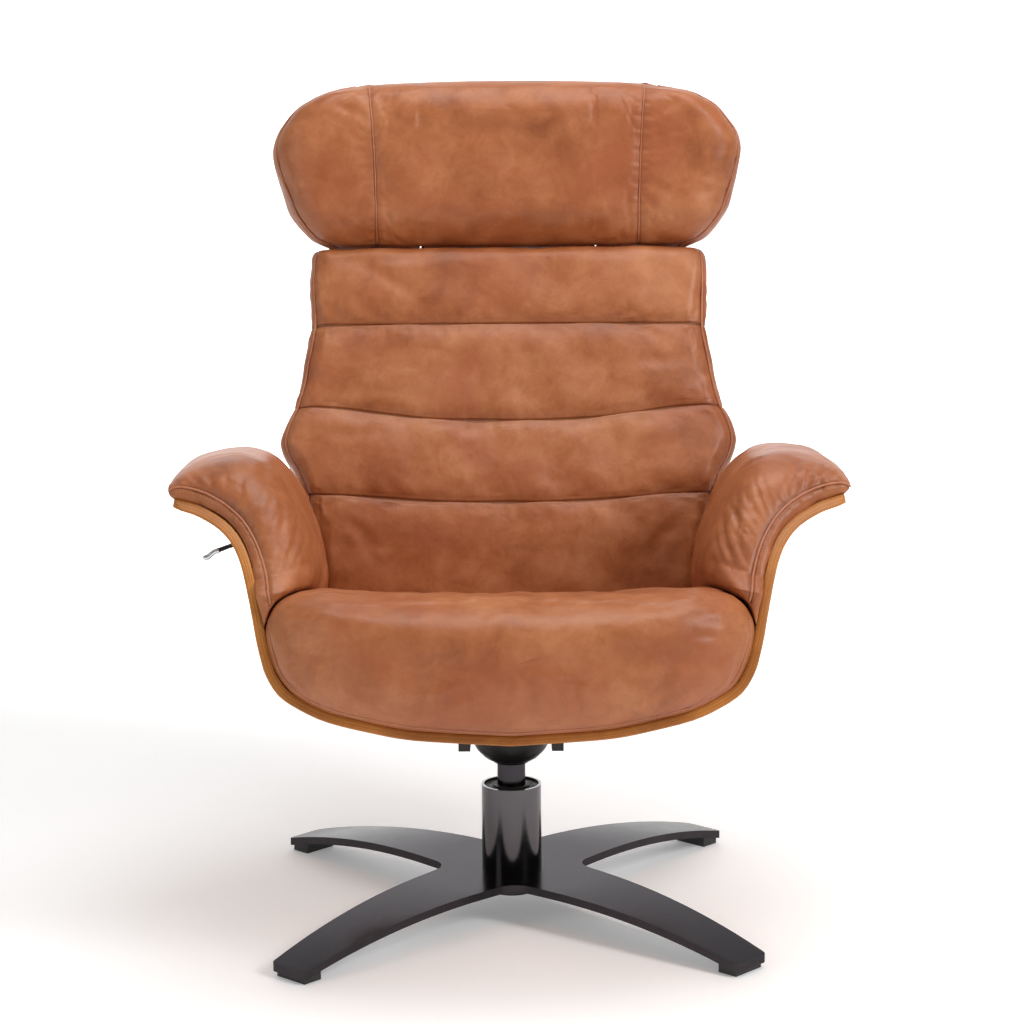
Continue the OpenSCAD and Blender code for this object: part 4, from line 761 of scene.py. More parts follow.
def seat_section(y, n=TOP_POINTS, m=LOW_POINTS):
    """Round the cushion at y: the crowned top, then the shell's bed, with soft corners between them."""
    w = seat_half(y)
    x = np.linspace(-1, 1, 241) * w
    top = even(np.stack([x, seat_high(x, y)], -1), 2.0)
    low = even(np.stack([-x, np.interp(np.abs(x), bed_seat[:, 0], bed_seat[:, 1])], -1), 2.0)
    p = np.vstack([top[:-1], low[:-1]])
    for _ in range(CORNER_ROUNDS):
        p = soften_loop(p, 0)
    split = len(top) - 1
    return np.vstack([resample(p[:split], n), resample(p[split:], m)])


def nose_start(z):
    """Where the round nose begins: farther forward at the foot than at the crest."""
    return -NOSE_FOOT + (CREST_Y + NOSE_FOOT) * np.clip(z / CREST, 0, 1)


def nose_ring(p, degrees):
    """A section carried forward by the sine of an angle and drawn in by a power of its cosine."""
    y0 = nose_start(p[:, 1])
    a = np.radians(degrees)
    s = np.cos(a) ** NOSE_POWER
    z = NOSE_MID + (p[:, 1] - NOSE_MID) * s
    return np.stack([p[:, 0] * s, y0 - (y0 + SEAT_FRONT) * np.sin(a), z], -1)


def seat_rings():
    """The nose from its tip back, the sections along the seat, and the round rear end."""
    p = seat_section(CREST_Y)
    turns = np.concatenate([np.linspace(88.5, 36, 36), np.linspace(35, 0.6, 50)])
    rings = [nose_ring(p, a) for a in turns]
    for f in np.linspace(0, 0.94, 100):
        q = seat_section(CREST_Y + (SEAT_REAR - CREST_Y) * f)
        y0 = nose_start(q[:, 1])
        rings.append(np.stack([q[:, 0], y0 + (SEAT_REAR - y0) * f, q[:, 1]], -1))
    q = seat_section(SEAT_REAR)
    for k in np.sin(np.radians(np.linspace(8, 88, 12))):
        s = 1 - quarter(k) * REAR_R / SEAT_LOW
        rings.append(np.stack([q[:, 0] * s, np.full(len(q), SEAT_REAR - REAR_R * (1 - k)),
                               SEAT_LOW / 2 + (q[:, 1] - SEAT_LOW / 2) * s], -1))
    return np.array(rings)


def seat_welt():
    """The seam round the lower front of the cushion: 28 degrees round the nose, and 13 at the sides.

    The right half runs under the nose and up the side to a height of 150, and the left one mirrors it.
    """
    n = 400
    p = seat_section(CREST_Y, n, n)
    x = np.abs(p[:, 0]) / seat_half(CREST_Y)
    ring = nose_ring(p, 13 + 15 * np.clip((1 - x) * 2.6, 0, 1))
    low = np.where((p[:, 0] >= 0) & (np.arange(len(p)) >= n))[0][::-1]
    side = np.where((p[:, 0] > 0) & (p[:, 1] < 150) & (np.arange(len(p)) < n))[0][::-1]
    right = even(ring[np.concatenate([low, side])], 6)
    return even(smooth(np.vstack([(right * [-1, 1, 1])[:0:-1], right]), 3), 3)


# Folds: three points of each line, then its depth and its width
SEAT_FOLDS = (((28, -410, 30), (22, -416, 70), (34, -408, 128), 2.6, 8),
              ((82, -409, 34), (76, -415, 78), (84, -408, 118), 2.2, 7),
              ((4, -409, 34), (12, -415, 62), (10, -408, 92), 1.1, 7),
              ((54, -409, 30), (60, -415, 60), (54, -408, 96), 1.0, 7),
              ((-120, -406, 36), (-112, -414, 76), (-124, -404, 122), 1.2, 9),
              ((-205, -392, 50), (-216, -398, 84), (-208, -386, 120), 1.1, 9),
              ((172, -398, 44), (182, -406, 84), (174, -396, 116), 1.3, 9),
              ((-44, -410, 34), (-50, -416, 66), (-40, -412, 104), 1.0, 8),
              ((-30, -330, 176), (-10, -250, 166), (-20, -150, 150), 1.0, 14),
              ((150, -330, 178), (120, -250, 170), (128, -150, 152), 0.9, 12),
              ((-190, -320, 178), (-150, -240, 168), (-160, -150, 150), 0.9, 12))


def build_seat():
    """Seat cushion: welt, soft waves, folds over the nose and gathers at the sides."""
    form = Form(seat_rings())
    path = seat_welt()
    # The underside and the rear end are pinned, with the seam
    form.puff(lambda v: (v[:, 2] < 22) | (v[:, 1] > 40) | close_to(v, [path], 5), rows=70, cols=90,
              most=0.9, grow=0.02, clear=[path], mask=np.clip((form.v[:, 2] - 26) / 30, 0, 1))
    form.pull(path, 2.6, 5.0, pucker=0.35, sharp=1.4, seed=3)
    mask = np.clip((form.v[:, 2] - 30) / 40, 0, 1) * np.clip((-form.v[:, 1] - 60) / 120 + 0.5, 0.3, 1)
    form.ripple(1.1, 120, 11, mask)
    form.ripple(0.5, 48, 5, mask)
    for *points, deep, wide in SEAT_FOLDS:
        form.fold(curve(*points), deep, wide)
    for side in (-1, 1):
        for x, z, deep in ((262, 128, 0.9), (252, 110, 0.8), (236, 92, 0.8), (268, 146, 0.6)):
            line = curve((x, -372, z), (x - 22, -392, z + 6), (x - 48, -402, z + 9)) * [side, 1, 1]
            form.fold(line, deep, 6)
    form.cord(path, r=1.5, lift=0.3)
    form.build("seat_leather", in_seat, "seat", "seat_cushion")


# Arm pads
FACE = smooth(np.array([[0.994, 1.034], [1.011, 1.045], [1.022, 1.072], [1.022, 1.102], [1.008, 1.133],
                        [0.962, 1.173], [0.909, 1.196], [0.827, 1.211], [0.763, 1.196], [0.719, 1.163],
                        [0.67, 1.093], [0.633, 1.007], [0.603, 0.914], [0.580, 0.821], [0.572, 0.732],
                        [0.583, 0.689]]) * [REACH, RISE_ARM], 8)
FACE_S = along(FACE) / along(FACE)[-1]
ARM_LOW = 59
arm_line = bed[bed[:, 1] > ARM_LOW][::-1]
ARM_S = along(arm_line)
PAD_OVER, PAD_BACK, PAD_LIFT = 1.5, 1.2, 3.0
# The pad's rear line: so far behind the seat cushion at most, and so far in front of the shell's edge
PAD_PAST, PAD_SHORT = 16, 20
# Points along a pad's line, the one where it turns under, points up its boxing, and its rows
PAD_N, PAD_TURN, PAD_ACROSS, PAD_ROWS = 150, 122, 9, 150
# A point near the middle of the line, and how many points before the turn its place is eased over
PAD_MIDDLE, TURN_EASE, TURN_ROUNDS = 60, 12, 60
# The shares of the pad's length over which its upper line sinks to the front and to the rear, and the
# least share of its height that it keeps at the rear
SINK_FRONT, SINK_REAR, KEEP_REAR = 0.26, 0.24, 0.35
BOXING = table([[0, 30], [0.07, 27], [0.16, 22], [0.3, 19.5], [0.6, 16.5], [1, 14]])


def pad_ends(x, z):
    """Where a pad's front and rear lines are, over a place on the shell's bed."""
    return front_edge(x, z) + PAD_BACK, np.minimum(rear_edge(x, z), SEAT_REAR + PAD_PAST) - PAD_SHORT


def pad_parts():
    """The pad's lower line on the shell's bed and its upper line, from the front edge to the rear one.

    The upper line is the sewn face, carried over the arm from the tip to the seat and turned under
    there. Towards the front and rear edges it sinks by a quarter circle to the boxing's height.
    """
    i = np.arange(PAD_N + 1)
    foot = np.array([FACE[-1][0], SIDE_SHARE * CREST])
    y_front, y_rear = pad_ends(foot[0], foot[1])
    v = np.concatenate([[0], (1 - np.cos(np.linspace(0.06, math.pi - 0.06, PAD_ROWS))) / 2, [1]])
    f = np.clip(i / PAD_TURN, 0, 1)
    g = np.clip((i - PAD_TURN) / (PAD_N - PAD_TURN), 0, 1)
    w = np.clip((i - PAD_TURN + TURN_EASE) / TURN_EASE, 0, 1)
    near_turn = np.exp(-((i[1:-1] - PAD_TURN + 3) / 18) ** 4) + 0.5 * np.exp(-((i[1:-1] - 10) / 8) ** 4)
    near_turn = near_turn[:, None]
    low_lines, up_lines = [], []
    for k in v:
        y = y_front + (y_rear - y_front) * k
        lift = PAD_LIFT * max(0.0, 1 - k / 0.5)
        run = np.interp(SIDE_SHARE * seat_top(y) + PAD_OVER + lift, arm_line[::-1, 1], ARM_S[::-1])
        s = i / PAD_N * run
        low = np.stack([np.interp(s, ARM_S, arm_line[:, 0]), np.interp(s, ARM_S, arm_line[:, 1])], -1)
        up = np.stack([np.interp(f, FACE_S, FACE[:, 0]), np.interp(f, FACE_S, FACE[:, 1])], -1)
        up[:, 1] += (seat_high(foot[0], y) + PAD_OVER - FACE[-1][1]) * f ** 3
        x = foot[0] + (low[-1][0] - foot[0]) * g
        turned = np.stack([x, seat_high(np.minimum(x, seat_half(y)), y) + PAD_OVER + lift * g], -1)
        up = np.where((i > PAD_TURN)[:, None], turned, up)
        start, stop = pad_ends(low[:, 0], low[:, 1])
        ys = (start + (stop - start) * k) * (1 - w) + y * w
        reach = np.linalg.norm(up - low, axis=1)
        thin = np.minimum(1, BOXING(f) / np.maximum(reach, 1e-6))
        fill = 1 - (1 - thin) * quarter(max(0.0, 1 - k / SINK_FRONT))
        fill -= (1 - np.maximum(thin, KEEP_REAR)) * quarter(max(0.0, 1 - (1 - k) / SINK_REAR))
        up = low + (up - low) * fill[:, None]
        for _ in range(TURN_ROUNDS):
            up[1:-1] += near_turn * (up[:-2] - 2 * up[1:-1] + up[2:]) / 4
        low_lines.append(np.stack([low[:, 0], ys, low[:, 1]], -1))
        up_lines.append(np.stack([up[:, 0], ys, up[:, 1]], -1))
    return np.array(low_lines), np.array(up_lines)


def pad_skin(low, up):
    """Closed rings of the lower and the upper line, with a boxing strip that swells across each end.

    The swell is a power of a sine up the strip, and it fades over the last five points of each line.
    """
    t = np.linspace(0, 1, PAD_ACROSS)[1:-1][:, None, None]
    tip = low[:, 0] + (up[:, 0] - low[:, 0]) * t
    foot = low[:, -1] + (up[:, -1] - low[:, -1]) * t
    rings = np.concatenate([low, foot.transpose(1, 0, 2), up[:, ::-1], tip.transpose(1, 0, 2)[:, ::-1]], 1)
    rows, cols = rings.shape[:2]
    n, m = PAD_N + 1, PAD_ACROSS - 2
    v, quads = [rings.reshape(-1, 3)], [grid(rows, cols, True)]
    total = rows * cols
    for row, sign, swell in ((0, -1, 3.2), (rows - 1, 1, 4.0)):
        inner = low[row] + (up[row] - low[row]) * t
        inner[..., 1] += sign * swell * np.sin(t[..., 0] * math.pi) ** 0.7 * np.clip(
            np.minimum(np.arange(n), n - 1 - np.arange(n)) / 5, 0, 1)
        number = total + np.arange(m * (n - 2)).reshape(m, n - 2)
        base = row * cols
        number = np.hstack([(base + cols - 1 - np.arange(m))[:, None], number,
                            (base + n + np.arange(m))[:, None]])
        number = np.vstack([base + np.arange(n), number, base + 2 * n + m - 1 - np.arange(n)])
        v.append(inner[:, 1:-1].reshape(-1, 3))
        total += m * (n - 2)
        corners = number[:-1, :-1], number[:-1, 1:], number[1:, 1:], number[1:, :-1]
        quads.append(np.stack(corners[::-1] if row == 0 else corners, -1).reshape(-1, 4))
    return rings, (np.vstack(v), np.vstack(quads), NO_TRIS)


# Each pad's name, solid and seed, and its gathers: billow, length, depth, and the creases' share
PADS = {-1: ("arm_left_leather", "arm_pad_left", 3, 0.6, 22, 0.55, 0.7),
        1: ("arm_right_leather", "arm_pad_right", 8, 0.9, 36, 1.3, 1)}


def build_pad(side):
    """Arm pad: boxing strip, piping on its upper edge, gathers off the tip and creases at the foot."""
    name, solid, seed, billow, gather_run, gather_deep, crease_share = PADS[side]
    low, up = (k * [side, 1, 1] for k in pad_parts())
    form = Form(*pad_skin(low, up))
    first, last = 7, PAD_TURN + 14
    front, rear = up[0][first:last], up[-1][first:last]
    beds = low.reshape(-1, 3)[::7]
    # The underside and both upper edges are pinned
    form.puff(lambda v: close_to(v, [up[0], up[-1]], 3)
              | (((v[:, None] - beds[None]) ** 2).sum(-1).min(1) < 60), rows=60, cols=110, most=billow)
    form.pull(front, 1.6, 5.0, pucker=0.5, sharp=1.2, seed=seed)
    form.pull(rear, 1.8, 5.0, pucker=0.4, sharp=0.8, seed=seed + 2)
    form.ripple(1.0, 110, 20 + seed)
    form.ripple(0.4, 42, 40 + seed)
    rng = np.random.default_rng(seed)
    behind = up[:, PAD_MIDDLE, 1] - up[0, PAD_MIDDLE, 1]

    def row_at(length):
        """The row that lies so far behind the pad's front."""
        return int(np.argmin(np.abs(behind - length)))

    for i in range(11):
        col = 14 + i * 8 + int(rng.integers(-2, 3))
        b = row_at(4 + gather_run * rng.uniform(0.7, 1.5))
        cols = np.linspace(col, col - rng.integers(3, 10), b - 1).round().astype(int)
        line = up[np.arange(1, b), np.clip(cols, 2, PAD_N - 2)]
        form.fold(line, gather_deep * rng.uniform(0.6, 1.3), rng.uniform(3.0, 4.6))
    # Creases at the foot: the columns they start and end at, counted from the turn, and their length
    for front_col, end_col, length, deep in ((-6, -34, 62, 2.6), (-2, -24, 52, 2.2), (-14, -48, 50, 1.5)):
        b = row_at(length)
        cols = np.linspace(PAD_TURN + front_col, PAD_TURN + end_col, b - 2).round().astype(int)
        form.fold(up[np.arange(2, b), cols], deep * crease_share, 5.0)
    if side < 0:
        # Two broad folds that run back over the left pad
        for front_col, end_col, start, end, deep in ((64, 60, 30, 95, 1.3), (30, 58, 70, 130, 1.0)):
            a, b = row_at(start), row_at(end)
            cols = np.linspace(front_col, end_col, b - a).round().astype(int)
            form.fold(up[np.arange(a, b), cols], deep, 7)
    strip = np.linspace(low[0][26], up[0][24], 12)
    form.pull(strip, 0.5, 2.0, sharp=0.5, shade_share=0.8)
    form.cord(front, r=1.7, lift=0.7)
    form.cord(rear, r=1.7, lift=0.5)
    below = (low[0] * 0.3 + up[0] * 0.7)[8:last - 6] - [0, 3.2, 0]
    form.stitch(below, aside=0.0, step=4.4, length=2.4, r=0.36)
    form.build(name, in_seat, "seat", solid)


# Back cushion and rear cover
FOOT, BACK_L, WING = 20.0, 540.0, 313.5
CUSHION_REAR, CUSHION_T, BACK_CROWN, EDGE_R = -66.0, 86.0, 5.0, 30.0
# How far the leather's rear lies behind its solid's. How far its foot and its top draw back, and over
# how many millimetres each. The points across the rear
CUSHION_IN, END_DRAW, END_LOW, END_HIGH, REAR_POINTS = 4, 18, 22, 16, 40
half_share = table([[0, 0.80], [0.05, 0.82], [0.15, 0.845], [0.248, 0.868], [0.318, 0.896],
                    [0.367, 0.919], [0.414, 0.948], [0.449, 0.984], [0.488, 1], [0.526, 0.985], [0.56, 0.963],
                    [0.596, 0.940], [0.635, 0.922], [0.695, 0.906], [0.744, 0.890], [0.804, 0.882],
                    [0.913, 0.880], [0.985, 0.875], [1, 0.862]], 4)
face_share = table([[0, 0.60], [0.07, 0.80], [0.19, 0.96], [0.34, 1.05], [0.52, 0.99],
                    [0.71, 0.94], [0.90, 0.92], [1, 0.88]])
SEAMS = (0.323, 0.537, 0.791)
bow_at = table([[0, 0], [0.323, 13], [0.537, 22], [0.791, 0], [1, 0]], 5)
bow_share = table([[0, 0], [0.2, 0.03], [0.4, 0.18], [0.6, 0.52], [0.8, 0.88], [1, 1]])


def bow(f, u):
    """How much higher a row of the back is at u, from 0 in the middle to 1 at the side."""
    return bow_at(f) * bow_share(np.clip(np.abs(u), 0, 1))


def back_half(f):
    """Half the width at the height that the row f has at its sides."""
    return half_share(np.clip(f + bow_at(f) / BACK_L, 0, 1)) * WING


def back_face(f):
    """The cushion's front face along its middle."""
    return CUSHION_REAR - CUSHION_T * face_share(f)


def back_rings(cols=100):
    """Rows up the cushion: a crowned front with round edges, sides, and a flat rear."""
    a = np.linspace(0, math.pi / 2, 24)
    deep = np.linspace(0, 1, 7)[1:]
    rings = []
    for k in dense(0.0, BACK_L, 3.2, [s * BACK_L for s in SEAMS], 9.0, 0.75) / BACK_L:
        w = float(back_half(k))
        end = min(k * BACK_L / END_LOW, (1 - k) * BACK_L / END_HIGH)
        face = float(back_face(k)) + END_DRAW * float(quarter(max(0.0, 1 - end)))
        inner = w - EDGE_R
        flat = np.linspace(-1, 1, cols) * inner
        x = np.concatenate([-inner - EDGE_R * np.cos(a), flat[1:-1], inner + EDGE_R * np.sin(a)])
        y = np.concatenate([face + EDGE_R * (1 - np.sin(a)), np.full(cols - 2, face),
                            face + EDGE_R * (1 - np.cos(a))])
        y = y - BACK_CROWN * (1 - (x / w) ** 2)
        side_y = y[-1] + (CUSHION_REAR + CUSHION_IN - y[-1]) * deep
        side_x = w - 1.5 * np.sin(deep * math.pi)
        rear_x = np.linspace(w, -w, REAR_POINTS)[1:-1]
        x = np.concatenate([x, side_x, rear_x, -side_x[::-1]])
        y = np.concatenate([y, side_y, np.full(len(rear_x), CUSHION_REAR + CUSHION_IN), side_y[::-1]])
        rings.append(np.stack([x, y, FOOT + k * BACK_L + bow(k, x / w)], -1))
    return np.array(rings)


def seam_path(s, n=160):
    """A sewn channel across the back, round both of its edges."""
    u = np.linspace(-1, 1, n)
    w = float(back_half(s))
    y = float(back_face(s)) + EDGE_R * quarter(np.clip(1 - (1 - np.abs(u)) * w / EDGE_R, 0, 1))
    return np.stack([u * w, y - BACK_CROWN * (1 - u * u), FOOT + s * BACK_L + bow(s, u)], -1)


def edge_path(side, inset=5.5, n=220):
    """The welt round the front of the back cushion, a little inside its widest line."""
    f = np.linspace(0.015, 0.985, n)
    w = back_half(f)
    y = back_face(f) + EDGE_R * quarter((EDGE_R - inset) / EDGE_R)
    return np.stack([side * (w - inset), y, FOOT + f * BACK_L + bow_at(f)], -1)


# Folds: three points of each line, then its depth
BACK_FOLDS = (((-262, -148, 300), (-225, -152, 290), (-160, -155, 294), 1.3),
              ((268, -146, 262), (225, -152, 250), (168, -154, 252), 1.3),
              ((-232, -150, 176), (-198, -155, 148), (-186, -155, 108), 1.5),
              ((236, -150, 172), (204, -155, 142), (192, -155, 100), 1.5),
              ((-250, -150, 330), (-215, -152, 350), (-150, -152, 352), 1.0),
              ((252, -150, 400), (222, -150, 392), (170, -150, 396), 1.1),
              ((258, -150, 455), (232, -150, 450), (196, -148, 456), 1.2),
              ((-60, -152, 60), (-20, -152, 100), (10, -156, 120), 1.0))


def build_back():
    """Back cushion: three channels, a welt down each edge, soft waves and folds."""
    form = Form(back_rings())
    seams = [seam_path(s) for s in SEAMS]
    edges = [edge_path(side) for side in (-1, 1)]
    # The rear is pinned, with the channels and the welts
    form.puff(lambda v: (v[:, 1] > -92) | close_to(v, seams + edges, 5), rows=100, cols=80, most=1.1,
              grow=0.025, clear=seams + edges)
    for i, path in enumerate(seams):
        form.pull(path, 6.0, 14.0, pucker=0.5, sharp=1.9, seed=i + 1, shade_share=0.9, thin=1.25, ease=0.75)
    for i, path in enumerate(edges):
        form.pull(path, 1.8, 5.0, pucker=0.35, sharp=1.2, seed=4 + 2 * i)
    mask = np.clip((-form.v[:, 1] - 90) / 30, 0, 1)
    form.ripple(1.3, 120, 31, mask)
    form.ripple(0.5, 50, 33, mask)
    for *points, deep in BACK_FOLDS:
        form.fold(curve(*points), deep, 9)
    for path in edges:
        form.cord(path, r=1.7, lift=0.7)
    form.build("back_leather", in_back, "back", "back_cushion")


panel_share = table([[0, 0.62], [0.1, 0.92], [0.3, 1], [0.6, 0.90], [0.85, 0.70], [0.97, 0.56], [1, 0.44]])
PANEL_FRONT, PANEL_T, PANEL_L, PANEL_IN = -57.0, 52.0, BACK_L - 8, 3.5
# The bulge is a fourth root for the steep sides and a power for the full middle, in these shares
STEEP_SHARE, FULL_SHARE, FULL_POWER = 0.16, 0.84, 2.6
# It is shallower by a share at its foot and its top, over so many millimetres each
SHALLOW, SHALLOW_LOW, SHALLOW_HIGH = 0.75, 16, 14
# Where its two seams are, as a share of its half width
COVER_SEAM = 0.62


def panel_bulge(u, f):
    """How far the rear cover stands back: steep at its sides and full in the middle."""
    steep, full = np.clip(1 - u * u, 0, 1) ** 0.25, 1 - np.abs(u) ** FULL_POWER
    return PANEL_T * panel_share(f) * (STEEP_SHARE * steep + FULL_SHARE * full)


def cover_rings(rows=130, cols=120):
    """Rows up the rear cover: the bulged rear and a flat front, shallower at both ends."""
    rings = []
    u = -np.cos(np.linspace(0, math.pi, cols))
    for k in np.linspace(0, 1, rows):
        w = float(back_half(min(0.985, k))) - 3
        end = min(k * BACK_L / SHALLOW_LOW, (1 - k) * BACK_L / SHALLOW_HIGH)
        y = PANEL_FRONT + panel_bulge(u, k) * (1 - SHALLOW * float(quarter(max(0.0, 1 - end))))
        x = np.concatenate([u, np.linspace(1, -1, REAR_POINTS)[1:-1]]) * w
        y = np.concatenate([y, np.full(REAR_POINTS - 2, PANEL_FRONT - PANEL_IN)])
        rings.append(np.stack([x, y, FOOT + k * PANEL_L + bow(k, x / w)], -1))
    return np.array(rings)


def build_cover():
    """Rear cover: two stitched seams up it and a welt round its edge."""
    form = Form(cover_rings())
    seams = []
    f = np.linspace(0.04, 0.96, 140)
    for u in (-COVER_SEAM, COVER_SEAM):
        seams.append(np.stack([back_half(f) * u, PANEL_FRONT + panel_bulge(u, f),
                               FOOT + f * PANEL_L + bow(f, u)], -1))
    # The flat front is pinned, with the seams
    form.puff(lambda v: (v[:, 1] < -40) | close_to(v, seams, 6), rows=60, cols=60, most=1.2)
    for i, path in enumerate(seams):
        form.pull(path, 2.2, 9.0, pucker=0.3, sharp=1.4, seed=11 + 2 * i)
        form.stitch(path, 4.0)
        form.stitch(path, -4.0)
    form.ripple(0.8, 120, 51)
    f = np.linspace(0.01, 0.985, 140)
    edge = np.stack([back_half(f) - 1.5, np.full(len(f), PANEL_FRONT - 2.0),
                     FOOT + f * PANEL_L + bow_at(f)], -1)
    for side in (-1, 1):
        form.cord(edge * [side, 1, 1], r=2.0, lift=0.5)
    form.build("cover_leather", in_back, "back", "back_panel")


# Headrest
HR, RISE, HEAD_W, HEAD_EDGE = 58.0, 172.0, 326.0, 48.0
SEAM_X, CROWN, EAR, EAR_R = 184.0, 5.0, 12.0, 52.0
# Points round each end of a row, and the rows over which soft movement fades at foot and top
HEAD_ARC, HEAD_FADE = 42, 14
# The share of half a row's points up to its slot's inner and outer side
INNER_SHARE, OUTER_SHARE = 0.44, 0.50
SLOT_IN, SLOT_OUT, SLOT_WALL = 117.2, 123.8, 0.4
SLOT_TOP, SLOT_DEEP, SLOT_HUB, SLOT_SKIN = 21.0, 18.5, 21.5, 1.5
low_w = table([[0, 0.76], [0.1, 0.80], [0.25, 0.85], [0.5, 0.893], [0.8, 0.928], [1, 0.945]])
high_w = table([[0, 0.945], [0.12, 0.964], [0.24, 0.984], [0.36, 0.997], [0.48, 1], [0.60, 0.983],
                [0.70, 0.946], [0.80, 0.902], [0.87, 0.846], [0.93, 0.765], [1, 0.59]])


def head_half(z):
    """Half the headrest's width at a height: one lookup below its hinge and one above it."""
    return HEAD_W * np.where(z < 0, low_w(1 + z / HR), high_w(z / RISE))


def head_deep(z):
    """Half its depth: a half circle below its hinge, and a top rounded by a power of 2.2."""
    top = np.sqrt(np.clip(1 - np.clip((z - RISE + HEAD_EDGE) / HEAD_EDGE, 0, 1) ** 2.2, 0, 1))
    return np.where(z < 0, np.sqrt(np.clip(HR * HR - z * z, 0, None)), HR * top)


def ear(x, w, z):
    """How far the ears come forward, by the square of the way out from the seam."""
    return EAR * (np.clip(np.abs(x) - SEAM_X, 0, None) / np.maximum(w - SEAM_X, 1)) ** 2 \
        * np.clip(z / RISE + 0.1, 0, 1)


def head_lift(x, w, z):
    """The crown of the top: a parabola across, highest in the middle, that grows with the height."""
    return CROWN * (1 - np.clip(np.abs(x) / w, 0, 1) ** 2) * np.clip(z / RISE, 0, 1)


def head_heights(low_degrees, n, top_degrees):
    """Heights up the headrest, even in angle round its foot and its top."""
    turn = np.sin(np.radians(np.linspace(low_degrees, 0, n)))
    rise = np.sin(np.radians(np.linspace(0, top_degrees, n)))[1:]
    return np.concatenate([HR * turn, np.linspace(0, RISE - HEAD_EDGE, int(n * 1.6))[1:],
                           RISE - HEAD_EDGE + HEAD_EDGE * rise])


def head_rings():
    """Rows up the headrest: front, round right end, rear and round left end.

    Four columns on each side stand at fixed places, where the brackets' slots are.
    """
    u = np.concatenate([np.linspace(0, INNER_SHARE, 20), np.linspace(INNER_SHARE, OUTER_SHARE, 6)[1:-1],
                        dense(OUTER_SHARE, 1.0, 0.02, [0.70, 0.74, 0.8, 0.9], 0.05, 0.005)])
    u = np.concatenate([-u[:0:-1], u])
    fifth = (OUTER_SHARE - INNER_SHARE) / 5
    marks = [0, INNER_SHARE, INNER_SHARE + fifth, OUTER_SHARE - fifth, OUTER_SHARE]
    places = [0, SLOT_IN - SLOT_WALL, SLOT_IN, SLOT_OUT, SLOT_OUT + SLOT_WALL]
    a = np.linspace(0, math.pi, HEAD_ARC + 2)[1:-1]
    rings = []
    for k in head_heights(-89, 36, 89.3):
        w, d = float(head_half(k)), max(0.4, float(head_deep(k)))
        e = min(EAR_R, w * 0.5)
        flat = np.interp(np.abs(u), marks + [1], places + [w - e]) * np.sign(u)
        x = np.concatenate([flat, w - e + e * np.sin(a), flat[::-1], e - w - e * np.sin(a)])
        y = np.concatenate([np.full(len(u), -d), -d * np.cos(a), np.full(len(u), d), d * np.cos(a)])
        rings.append(np.stack([x, y - ear(x, w, k), k + head_lift(x, w, k)], -1))
    return np.array(rings)


def cut_slots(form, rings):
    """Cuts the brackets' slots into the lower rear, open to below.

    The fixed columns of the rear sink to the hinge's hub. Where the front is as near as that, they
    rise with the front's columns to the height at which the two faces meet, less a fiftieth of
    their way, so that no two rows lie on each other.
    """
    x, y, z = rings.reshape(-1, 3).T
    meet = -math.sqrt(HR ** 2 - (SLOT_DEEP + SLOT_SKIN) ** 2)
    middle = (SLOT_IN + SLOT_OUT) / 2
    within = np.abs(np.abs(x) - middle) < middle - SLOT_IN + SLOT_WALL / 4
    rear = within & (y > 0) & (z < SLOT_TOP)
    front = within & (y < 0) & (z < meet)
    deep = np.maximum(SLOT_DEEP, np.sqrt(np.clip(SLOT_HUB ** 2 - z ** 2, 0, None)))
    height = np.maximum(z, meet + 0.02 * (z - meet))
    form.v[rear] = np.stack([x, -deep, height], -1)[rear]
    form.v[front] = np.stack([x, 0 * x - SLOT_DEEP - SLOT_SKIN, height], -1)[front]


def head_seam(side, face, top):
    """A seam up the front or the rear of the headrest."""
    z = head_heights(-80, 50, top)
    x = np.interp(z, [-58, 0, 60, 120, 172], [182, 182, 184, 187, 192])
    return np.stack([x * side, face * head_deep(z), z + head_lift(x, head_half(z), z)], -1)


def ear_welt(side, degrees=58):
    """The welt round an ear, a little in front of its widest line."""
    z = head_heights(-72, 60, 66)
    w = head_half(z)
    a = np.radians(np.interp(z, [-58, 0, 100, 172], [degrees - 8, degrees, degrees + 10, degrees + 16]))
    x = w - EAR_R + EAR_R * np.sin(a)
    return np.stack([side * x, -head_deep(z) * np.cos(a) - ear(x, w, z), z + head_lift(x, w, z)], -1)


# Folds of the right ear, which the left one mirrors: three points of each line, then its depth
HEAD_FOLDS = (((305, -40, 95), (282, -50, 93), (252, -58, 99), 1.6),
              ((308, -38, 60), (286, -48, 58), (262, -56, 55), 1.4),
              ((300, -38, 20), (280, -48, 18), (255, -56, 12), 1.3),
              ((282, -40, -12), (264, -48, -2), (244, -55, 3), 1.2),
              ((250, -42, 150), (236, -52, 138), (215, -58, 128), 1.2))


